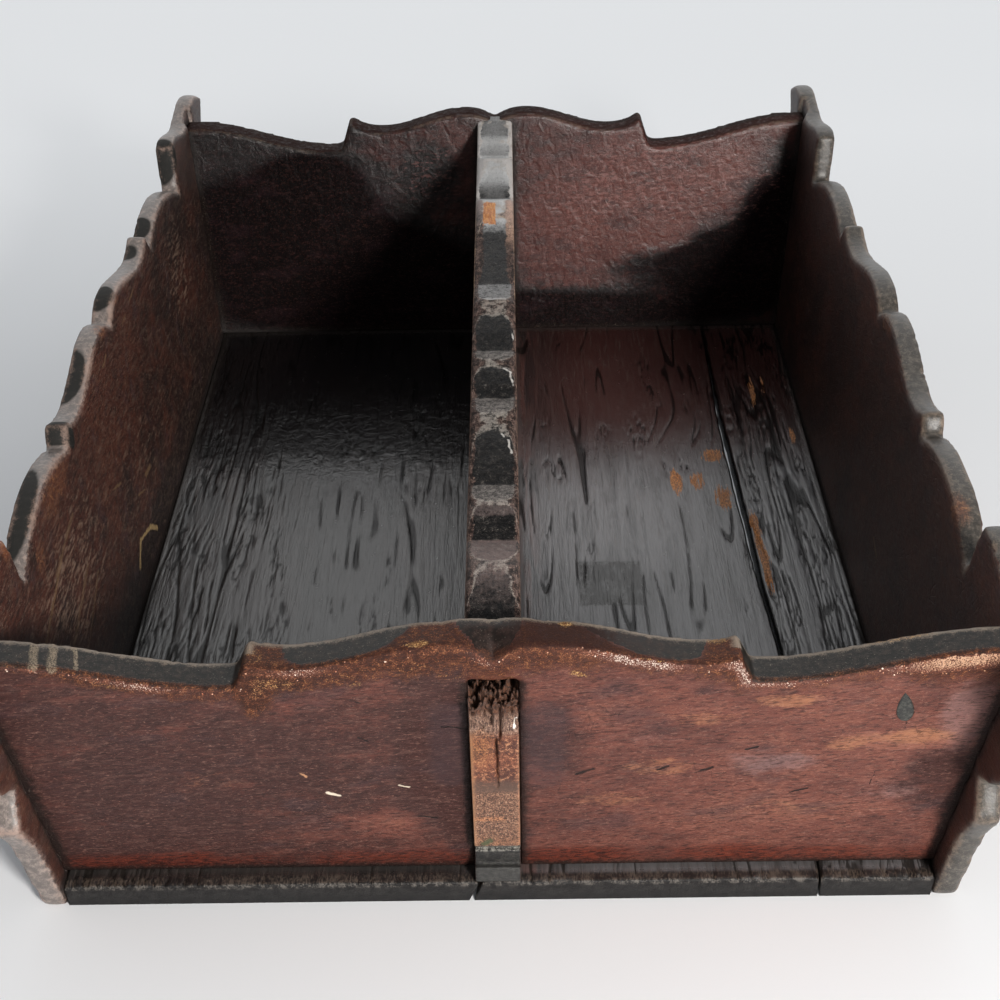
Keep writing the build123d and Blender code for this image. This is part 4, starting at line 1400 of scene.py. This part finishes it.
floorLook = {
    "column": 0.36,            # across the grain
    "row": 1.7,                # along it
    "sharpRows": (0, 0.12, 0.35, 0.7, 1.2, 1.8, 2.6, 3.8, 5.2, 7.0, 9.0, 11.0),   # near both ends
    "roundEnd": 0.7,
    # how wide and long the ridges are, and how high
    "ridges": ((3.0, 70, 0.16), (1.4, 40, 0.09), (0.6, 20, 0.03)),
    "calm": 0.30,              # how much of that the middle of the floor shows
    # narrow cuts: how wide and long they wander, how deep and how sparse they are
    "cuts": ((5.5, 80, 0.30, 0.0), (2.0, 40, 0.28, 0.45), (1.3, 7, 0.22, 0.30)),
    "cutDepth": 0.35,
    "knot": (57, 40, 11, 7),   # where the grain bends round a knot: its place, reach and strength
    "leftSeam": ((-143.5, -4.2), (0, -4.2), (143.5, -4.2)),
    "rightSeam": (
        (-143.5, 73.6), (-100, 75.6), (-58, 76.2), (-28, 74.8), (25, 73.8), (62, 73.2), (118, 73.7),
        (143.5, 73.5),
    ),
    "leftGap": ((-143.5, 1.1), (143.5, 0.8)),
    "rightGap": (
        (-143.5, 0.5), (-90, 0.7), (-58, 0.9), (-25, 1.3), (10, 1.9), (50, 1.7), (85, 0.9), (118, 0.4),
        (143.5, 0.4),
    ),
    "leftSlant": 2.0,          # how far the left seam's foot stands to the left, at the front edge
    "slantFade": 12,           # how far in from the edge that dies out
    "joinReach": 12,           # how far from the upright boards the near-join mark reaches
    "joinFade": 3.5,
    "underCad": 0.06,          # how far under the plain board's top the worn one starts
    "bareSpots": (
        (68.5, 40, 5.8, 4.4, 5.0, 3, 1),
        (55.4, 25, 5.8, 2.2, 9.0, 3, 1),
        (62, 25, 5.8, 2.4, 7.0, 3, 1),
        (69.4, 16, 5.8, 3.4, 9.0, 3, 1),
        (76.8, 1, 5.8, 1.5, 9, 3, 1),
        (77.4, -14, 5.8, 2.0, 13, 3, 1),
        (77.4, -28, 5.8, 1.4, 9, 3, 1),
        (86, 80, 5.8, 1.3, 12, 3, 0.8),
        (90, 84, 5.8, 0.9, 9, 3, 0.7),
        (95.3, 51, 5.8, 1.0, 6, 3, 1),
    ),
    # dark places: a dark square, and painted shade over the back of the left compartment
    "darkSpots": (
        (32, -28, 5.8, 12, 13, 4, 0.9),
        (-60, 60, 5.8, 30, 50, 4, 0.4),
    ),
}


def field(x, y, wide, long, seed):
    return np.array([noise.noise((a / wide, b / long, seed * 3.7)) for a, b in zip(x, y)])


def floorRelief(x, y, look, seed):
    # low ridges along the grain, and narrow cuts that wander, fade and come back
    knotX, knotY, reach, strength = look["knot"]
    bend = 1.6 * field(x, y, 9, 45, seed + 0.5)
    bend += strength * np.exp(-((x - knotX) ** 2 + (y - knotY) ** 2) / (2 * reach**2))
    bold = np.maximum(0.8 * smooth(x, -64, -82), smooth(x, 70, 76))
    ridges = sum(high * field(x + bend, y, wide, long, seed + k)
                 for k, (wide, long, high) in enumerate(look["ridges"]))
    lines = np.zeros_like(x)
    for k, (wide, long, deep, sparse) in enumerate(look["cuts"]):
        away = np.abs(field(x + bend, y, wide, long, seed + 5 + k))
        there = smooth(field(x, y, 6, 22, seed + 9 + k) + 0.45 * bold, sparse - 0.1, sparse + 0.25)
        thin = 0.22 / wide
        lines = np.maximum(lines, deep / 0.3 * smooth(away, thin + 0.03, thin * 0.2) * there)
    return ridges * (look["calm"] + (1 - look["calm"]) * bold), lines


def makeFloorBoard(name, node, leftEdge, rightEdge, leftFoot, rightFoot, look, seed, finish):
    low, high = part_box(node)
    inner = np.arange(-halfLength + 13, halfLength - 12.9, look["row"])
    ends = np.array(look["sharpRows"])
    rows = np.concatenate([-halfLength + ends, inner, (halfLength - ends)[::-1]])
    count = int((high.x - low.x) / mm / look["column"])
    share = np.linspace(0, 1, count + 1)
    share = share + 0.35 / count * np.sin(2 * pi * share)
    y = np.repeat(rows, len(share))
    u = np.tile(share, len(rows))
    left, right = leftEdge(y), rightEdge(y)
    x = left + (right - left) * u
    ridges, lines = floorRelief(x, y, look, seed)
    toEnd = halfLength - np.abs(y)
    toSide = np.minimum((x - left), (right - x))
    round0 = look["roundEnd"]
    drop = np.where(toEnd < round0, round0 - np.sqrt(np.clip(round0**2 - (round0 - toEnd)**2, 0, None)), 0)
    drop += np.where(toSide < 0.5, (0.5 - toSide) ** 2 * 1.2, 0)
    drop += np.clip(field(x, y, 7, 3, seed) - 0.25, 0, 1) * 1.5 * np.clip(1 - toEnd / 1.6, 0, 1)
    top = np.minimum(high.z / mm - drop - look["cutDepth"] * lines + ridges - look["underCad"], high.z / mm)
    footX = left + leftFoot(y) + (right + rightFoot(y) - left - leftFoot(y)) * u
    upper = np.stack([x, y, top], axis=1)
    lower = np.stack([footX, y, np.zeros_like(y)], axis=1)
    n, m = len(share), len(rows)
    index = np.arange(n * m).reshape(m, n)
    corners = [index[:-1, :-1], index[:-1, 1:], index[1:, 1:], index[1:, :-1]]
    quads = np.stack(corners, axis=-1).reshape(-1, 4)
    ring = np.concatenate([index[0, :-1], index[:-1, -1], index[-1, :0:-1], index[:0:-1, 0]])
    # the underside is plain: one face inside the ring of foot corners
    footRing = np.arange(len(ring)) + n * m
    after = np.roll(np.arange(len(ring)), -1)
    skirt = np.stack([ring, footRing, footRing[after], ring[after]], axis=-1)
    mesh = bpy.data.meshes.new(name)
    mesh.from_pydata(np.concatenate([upper, lower[ring]]) * mm, [],
                     quads.tolist() + skirt.tolist() + [footRing[::-1].tolist()])
    mesh.update()
    obj = linked(name, mesh)
    turnOut(mesh)
    points = readVectors(mesh, "co")
    others = searchTree([k for k in woodNodes if k not in floorNodes])
    near, reach, fade = [], look["joinReach"], look["joinFade"]
    for point in points:
        touch = others.find_nearest(point, reach * mm)[3]
        near.append(reach if touch is None else touch / mm)
    writeMark(mesh, "nearJoin", np.exp(-np.array(near) / fade) - np.exp(-reach / fade))
    groove = np.maximum(lines, smooth(toSide, 0.75, 0.3))
    writeMark(mesh, "groove", np.concatenate([groove, np.zeros(len(ring))]))
    writeMark(mesh, "bare", spotField(points, look["bareSpots"]))
    writeMark(mesh, "dark", spotField(points, look["darkSpots"]))
    placePiece(obj, [node], finish)


def floorFinish(name):
    f = Finish(name)
    long = (1, 18, 1)
    grain = f.noise(0.6, long, detail=6, rough=0.66, wander=0.4)
    streak = f.noise(2.6, (1, 12, 1), detail=4, rough=0.6, wander=0.5, shift=15)
    cloud = f.noise(30, (1, 1.4, 1), detail=3, shift=3)
    patchy = f.noise(2.2, (1, 2.5, 1), detail=6, rough=0.68, shift=6)
    fine = f.noise(0.36, (1, 3, 1), detail=3, rough=0.65, shift=7)
    colour = f.mix(f.step(f.plus(cloud, streak, 0.6), 0.40, 0.62), tint(28, 28, 29), tint(46, 39, 38))
    # painted sheen: the front middle of the floor is painted paler, standing in for the bright wall's
    # reflection
    paintedSheen = f.times(f.step(f.axis("X"), -14, 14), f.step(f.axis("Y"), 70, 20))
    paintedSheen = f.times(paintedSheen, f.step(f.plus(streak, cloud, 0.5), 0.30, 0.6, 0.3, 1))
    colour = f.mix(paintedSheen, colour, tint(108, 106, 108))
    # a painted reddish sheen on the right, beside the divider
    paintedRedSheen = f.times(f.step(f.plus(f.axis("X"), cloud, 12), 16, 6), f.step(f.axis("X"), -4, 2))
    colour = f.mix(f.times(paintedRedSheen, f.step(streak, 0.4, 0.6), 0.7), colour, tint(104, 68, 62))
    redder = f.times(f.step(f.plus(f.axis("Y"), cloud, 60), 15, 75), f.step(f.axis("X"), -4, 30))
    colour = f.mix(f.times(redder, 0.7), colour, tint(64, 32, 28))
    colour = f.mix(f.step(grain, 0.52, 0.68, 0, 0.4), colour, tint(84, 72, 66))
    # darker where the dark mark is: the dark square, and painted shade at the left compartment's back
    colour = f.mix(f.times(f.mark("dark"), 0.7), colour, tint(13, 12, 12))
    # darker towards the back on the left, with a ragged edge, and less glossy there
    darkerBehind = f.step(f.plus(f.axis("Y"), patchy, 42, cloud, 40), 36, 46)
    darkerBehind = f.times(darkerBehind, f.step(f.axis("X"), -2, -10))
    colour = f.mix(f.times(darkerBehind, 0.85), colour, tint(18, 15, 16))
    groove = f.step(f.plus(f.mark("groove"), patchy, 0.7), 0.25, 0.7)
    colour = f.mix(f.times(groove, 0.85), colour, tint(8, 7, 7))
    # browner and rougher near the upright boards
    nearJoin = f.step(f.plus(f.mark("nearJoin"), patchy, 0.7), 0.2, 0.9)
    colour = f.mix(f.times(nearJoin, 0.5), colour, tint(48, 42, 38))
    bare = f.step(f.plus(f.mark("bare"), grain, 3.4, patchy, 1.6), 0.45, 0.75)
    bare = f.times(bare, f.step(f.mark("bare"), 0.06, 0.3))
    colour = f.mix(bare, colour, f.mix(f.step(fine, 0.4, 0.65), tint(146, 88, 50), tint(236, 166, 106)))
    fromX = f.sum("DIVIDE", f.awayFrom("X", 32), 9.5)
    fromY = f.sum("DIVIDE", f.awayFrom("Y", -28), 11)
    square = f.step(f.plus(f.most(fromX, fromY), patchy, 0.35), 1.02, 0.92)
    square = f.times(square, f.step(patchy, 0.34, 0.56, 0.2, 1))
    colour = f.mix(f.times(square, 0.8), colour, tint(26, 23, 20))
    ledge = f.step(f.axis("Y"), -141.5, -139.8, 1, 0)
    dusty = f.mix(f.step(f.plus(fine, patchy, 0.8), 0.42, 0.66), tint(16, 14, 14), tint(76, 66, 58))
    colour = f.mix(ledge, colour, dusty)
    arris = f.times(f.step(f.axis("Y"), -142.9, -143.3), f.step(f.axis("Z"), 4.2, 4.9))
    face = f.mix(f.step(patchy, 0.36, 0.68), tint(24, 22, 22), tint(42, 40, 39))
    colour = f.mix(f.step(f.axis("Y"), -143.0, -143.3), colour, face)
    arris = f.times(arris, f.step(f.plus(patchy, fine, 0.7), 0.46, 0.66))
    colour = f.mix(f.times(arris, 0.7), colour, tint(104, 98, 92))
    rough = f.plus(f.blend(ledge, 0.24, 0.5), patchy, 0.2)
    rough = f.most(rough, f.times(f.most(f.times(nearJoin, 0.8), bare), 0.65))
    height = f.sum("MULTIPLY_ADD", patchy, 0.5, f.sum("MULTIPLY_ADD", streak, 1.2, grain))
    front = f.step(f.axis("Y"), -142.8, -143.2)
    matt = f.most(f.times(square, 0.45), f.times(darkerBehind, 0.8), f.times(groove, 0.9), front)
    level = f.blend(matt, 1.0, 0.25)
    # lumpier where the back panel's gleam ends
    there = f.times(f.step(f.axis("Y"), 22, 42), f.step(f.axis("Y"), 96, 66))
    there = f.times(there, f.step(f.axis("X"), 6, -6, 0.12, 1))
    lump = f.times(f.noise(3.2, (1, 1.1, 1), detail=4, rough=0.6, wander=0.8, shift=33), there)
    return f.close(colour, rough, height, 0.16, level, lump, 0.30)


def makeFloor(look):
    finish = floorFinish("black floor lacquer with painted sheen and shade")

    def seam(side, way):
        return lambda y: (between(look[side + "Seam"], y) + way * between(look[side + "Gap"], y) / 2
                          + 0.25 * field(y * 0 + way, y, 1, 6, 3.3))

    def slant(y):
        return -look["leftSlant"] * np.exp(-(y + halfLength) / look["slantFade"])

    lean = floorTop * tan(sideLean)
    makeFloorBoard("leftFloorBoard", "floor_board_left", lambda y: 0 * y - halfWidth, seam("left", -1),
                   lambda y: 0 * y + lean, slant, look, 1, finish)
    makeFloorBoard("middleFloorBoard", "floor_board_middle", seam("left", 1), seam("right", -1),
                   slant, lambda y: 0 * y, look, 2, finish)
    makeFloorBoard("rightFloorBoard", "floor_board_right", seam("right", 1), lambda y: 0 * y + halfWidth,
                   lambda y: 0 * y, lambda y: 0 * y - lean, look, 3, finish)


makeDivider(dividerLook)
print("divider made")
makeFloor(floorLook)
print("floor made")

crumbLook = {
    "size": 0.17,              # how wide a crumb of the crust is, from its middle out
    "apart": 0.42,
    "crowd": 1.5,              # how many stand on each square millimetre at the most
    "seed": 5,
}


def crumbTree(finish):
    # crumbs scattered over a host's faces, as thick as its crust mark says
    tree = bpy.data.node_groups.new("scattered crumbs", "GeometryNodeTree")
    face = tree.interface
    face.new_socket("Geometry", in_out="OUTPUT", socket_type="NodeSocketGeometry")
    sockets = {}
    kinds = {"Host": "Object", "Size": "Float", "Apart": "Float", "Crowd": "Float", "Seed": "Int"}
    for name, kind in kinds.items():
        sockets[name] = face.new_socket(name, in_out="INPUT", socket_type="NodeSocket" + kind).identifier

    def add(kind, inputs=None, **settings):
        return addNode(tree, kind, inputs, **settings)

    given = add("NodeGroupInput").outputs
    host = add("GeometryNodeObjectInfo", {"Object": given["Host"]}, transform_space="RELATIVE")
    crust = add("GeometryNodeInputNamedAttribute", {"Name": "crust"}, data_type="FLOAT")
    share = add("ShaderNodeMapRange", {
        "Value": crust.outputs["Attribute"], "From Min": 0.25, "From Max": 0.9,
    }).outputs[0]
    clump = add("ShaderNodeTexNoise", {"Scale": 420.0, "Detail": 3.0}).outputs[0]
    clumped = add("ShaderNodeMapRange", {"Value": clump, "From Min": 0.42, "From Max": 0.62}).outputs[0]
    share = add("ShaderNodeMath", {0: share, 1: clumped}, operation="MULTIPLY").outputs[0]
    spread = add("GeometryNodeDistributePointsOnFaces", {
        "Mesh": host.outputs["Geometry"], "Distance Min": given["Apart"], "Seed": given["Seed"],
        "Density Max": given["Crowd"], "Density Factor": share,
    }, distribute_method="POISSON")
    crumb = add("GeometryNodeMeshIcoSphere", {"Radius": given["Size"], "Subdivisions": 2}).outputs[0]
    scale = add("FunctionNodeRandomValue", {
        0: (0.35, 0.35, 0.3), 1: (1.5, 1.2, 0.9), "Seed": 3,
    }, data_type="FLOAT_VECTOR").outputs[0]
    spots, turns = spread.outputs["Points"], spread.outputs["Rotation"]
    crumbs = add("GeometryNodeInstanceOnPoints", {
        "Points": spots, "Instance": crumb, "Rotation": turns, "Scale": scale,
    }).outputs[0]
    turn = add("FunctionNodeRandomValue", {
        0: (0, 0, 0), 1: (0.9, 0.9, 6.28), "Seed": 8,
    }, data_type="FLOAT_VECTOR")
    turned = add("GeometryNodeRotateInstances", {
        "Instances": crumbs, "Rotation": turn.outputs[0],
    }).outputs[0]
    whole = add("GeometryNodeRealizeInstances", {"Geometry": turned}).outputs[0]
    jag = add("ShaderNodeTexNoise", {"Scale": 5200.0, "Detail": 2.0}).outputs[1]
    push = add("ShaderNodeVectorMath", {0: jag, 1: (0.5, 0.5, 0.5)}, operation="SUBTRACT").outputs[0]
    push = add("ShaderNodeVectorMath", {0: push, "Scale": 0.00035}, operation="SCALE").outputs[0]
    rough = add("GeometryNodeSetPosition", {"Geometry": whole, "Offset": push}).outputs[0]
    dressed = add("GeometryNodeSetMaterial", {"Geometry": rough, "Material": finish}).outputs[0]
    tree.links.new(dressed, add("NodeGroupOutput").inputs[0])
    return tree, sockets


def crumbFinish(name):
    f = Finish(name)
    each = f.noise(1.3, detail=1, shift=5)
    fine = f.noise(0.2, detail=2, shift=2)
    colour = f.mix(f.step(f.plus(each, fine, 0.5), 0.36, 0.52), tint(150, 78, 50), tint(206, 158, 134))
    colour = f.mix(f.step(each, 0.54, 0.62), colour, tint(238, 222, 208))
    golden = f.mix(f.step(each, 0.44, 0.58), tint(136, 84, 52), tint(222, 180, 138))
    colour = f.mix(f.step(f.axis("X"), 80, 88, 0, 0.85), colour, golden)
    return f.close(colour, 0.55, fine, 0.05)


def makeCrumbs(look, host):
    finish = crumbFinish("pale crust")
    tree, sockets = crumbTree(finish)
    obj = linked("crustCrumbs", bpy.data.meshes.new("crustCrumbs"))
    scatter = obj.modifiers.new("crumbs", "NODES")
    scatter.node_group = tree
    scatter[sockets["Host"]] = bpy.data.objects[host]
    scatter[sockets["Size"]] = look["size"] * mm
    scatter[sockets["Apart"]] = look["apart"] * mm
    scatter[sockets["Crowd"]] = look["crowd"] / mm**2
    scatter[sockets["Seed"]] = look["seed"]
    settle(obj)
    print("crumbs:", len(obj.data.polygons), "faces")
    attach(obj, "root")


leafLook = {
    "tip": (84.9, 65.8),
    "foot": (86.3, 56.7),
    "half": 1.75,
    "proud": 0.35,
    "sides": 40,
}


def makeLeaf(look):
    # a pointed leaf with a round foot, laid in the leaning face of the front panel
    tip, foot = Vector(look["tip"]), Vector(look["foot"])
    ahead = (tip - foot).normalized()
    across = Vector((ahead.y, -ahead.x))
    length = (tip - foot).length

    def place(share, side, out):
        # share runs from the foot to the tip
        x, z = foot + ahead * (share * length) + across * side
        return x, -(footLine + (z - floorTop) * tan(endLean)) - out, z

    shape = bmesh.new()
    rings = []
    for shrink, out in ((1.0, -0.5), (1.0, 0.12), (0.86, 0.27), (0.5, 0.34)):
        ring = []
        for k in range(look["sides"]):
            turn = 2 * pi * k / look["sides"]
            share = 0.5 - 0.5 * cos(turn)
            width = look["half"] * sin(turn) * (1 - share) ** 0.42 * 1.28
            spot = place(0.42 + (share - 0.42) * shrink, width * shrink, out * look["proud"] / 0.35)
            ring.append(shape.verts.new(Vector(spot) * mm))
        rings.append(ring)
    for low, high in zip(rings, rings[1:]):
        for k in range(len(low)):
            after = (k + 1) % len(low)
            shape.faces.new((low[k], low[after], high[after], high[k]))
    shape.faces.new(rings[0][::-1])
    shape.faces.new(rings[-1])
    bmesh.ops.remove_doubles(shape, verts=shape.verts, dist=0.01 * mm)
    bmesh.ops.recalc_face_normals(shape, faces=shape.faces[:])
    mesh = bpy.data.meshes.new("leafInlay")
    shape.to_mesh(mesh)
    shape.free()
    obj = linked("leafInlay", mesh)
    f = Finish("blackened inlay")
    mottled = f.noise(0.8, detail=5, rough=0.65)
    fine = f.noise(0.25, detail=2, shift=4)
    colour = f.mix(f.step(mottled, 0.4, 0.66), tint(24, 24, 22), tint(66, 66, 60))
    placePiece(obj, ["leaf_inlay"], f.close(colour, f.plus(0.42, mottled, 0.3), fine, 0.08))


def wireFinish(name):
    f = Finish(name)
    worn = f.noise(0.6, detail=4, rough=0.6)
    spots = f.noise(0.25, detail=3, shift=6)
    colour = f.mix(f.step(worn, 0.42, 0.62), tint(62, 54, 48), tint(120, 108, 96))
    colour = f.mix(f.step(spots, 0.56, 0.66), colour, tint(86, 46, 28))
    return f.close(colour, f.plus(0.45, spots, 0.3), spots, 0.05)


makeCrumbs(crumbLook, "frontPanel")
makeLeaf(leafLook)
wire = wireFinish("dull wire")
for node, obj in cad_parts.items():
    if "brads" in node:
        obj.data.materials.clear()
        obj.data.materials.append(wire)
print("crust, leaf and brads done")
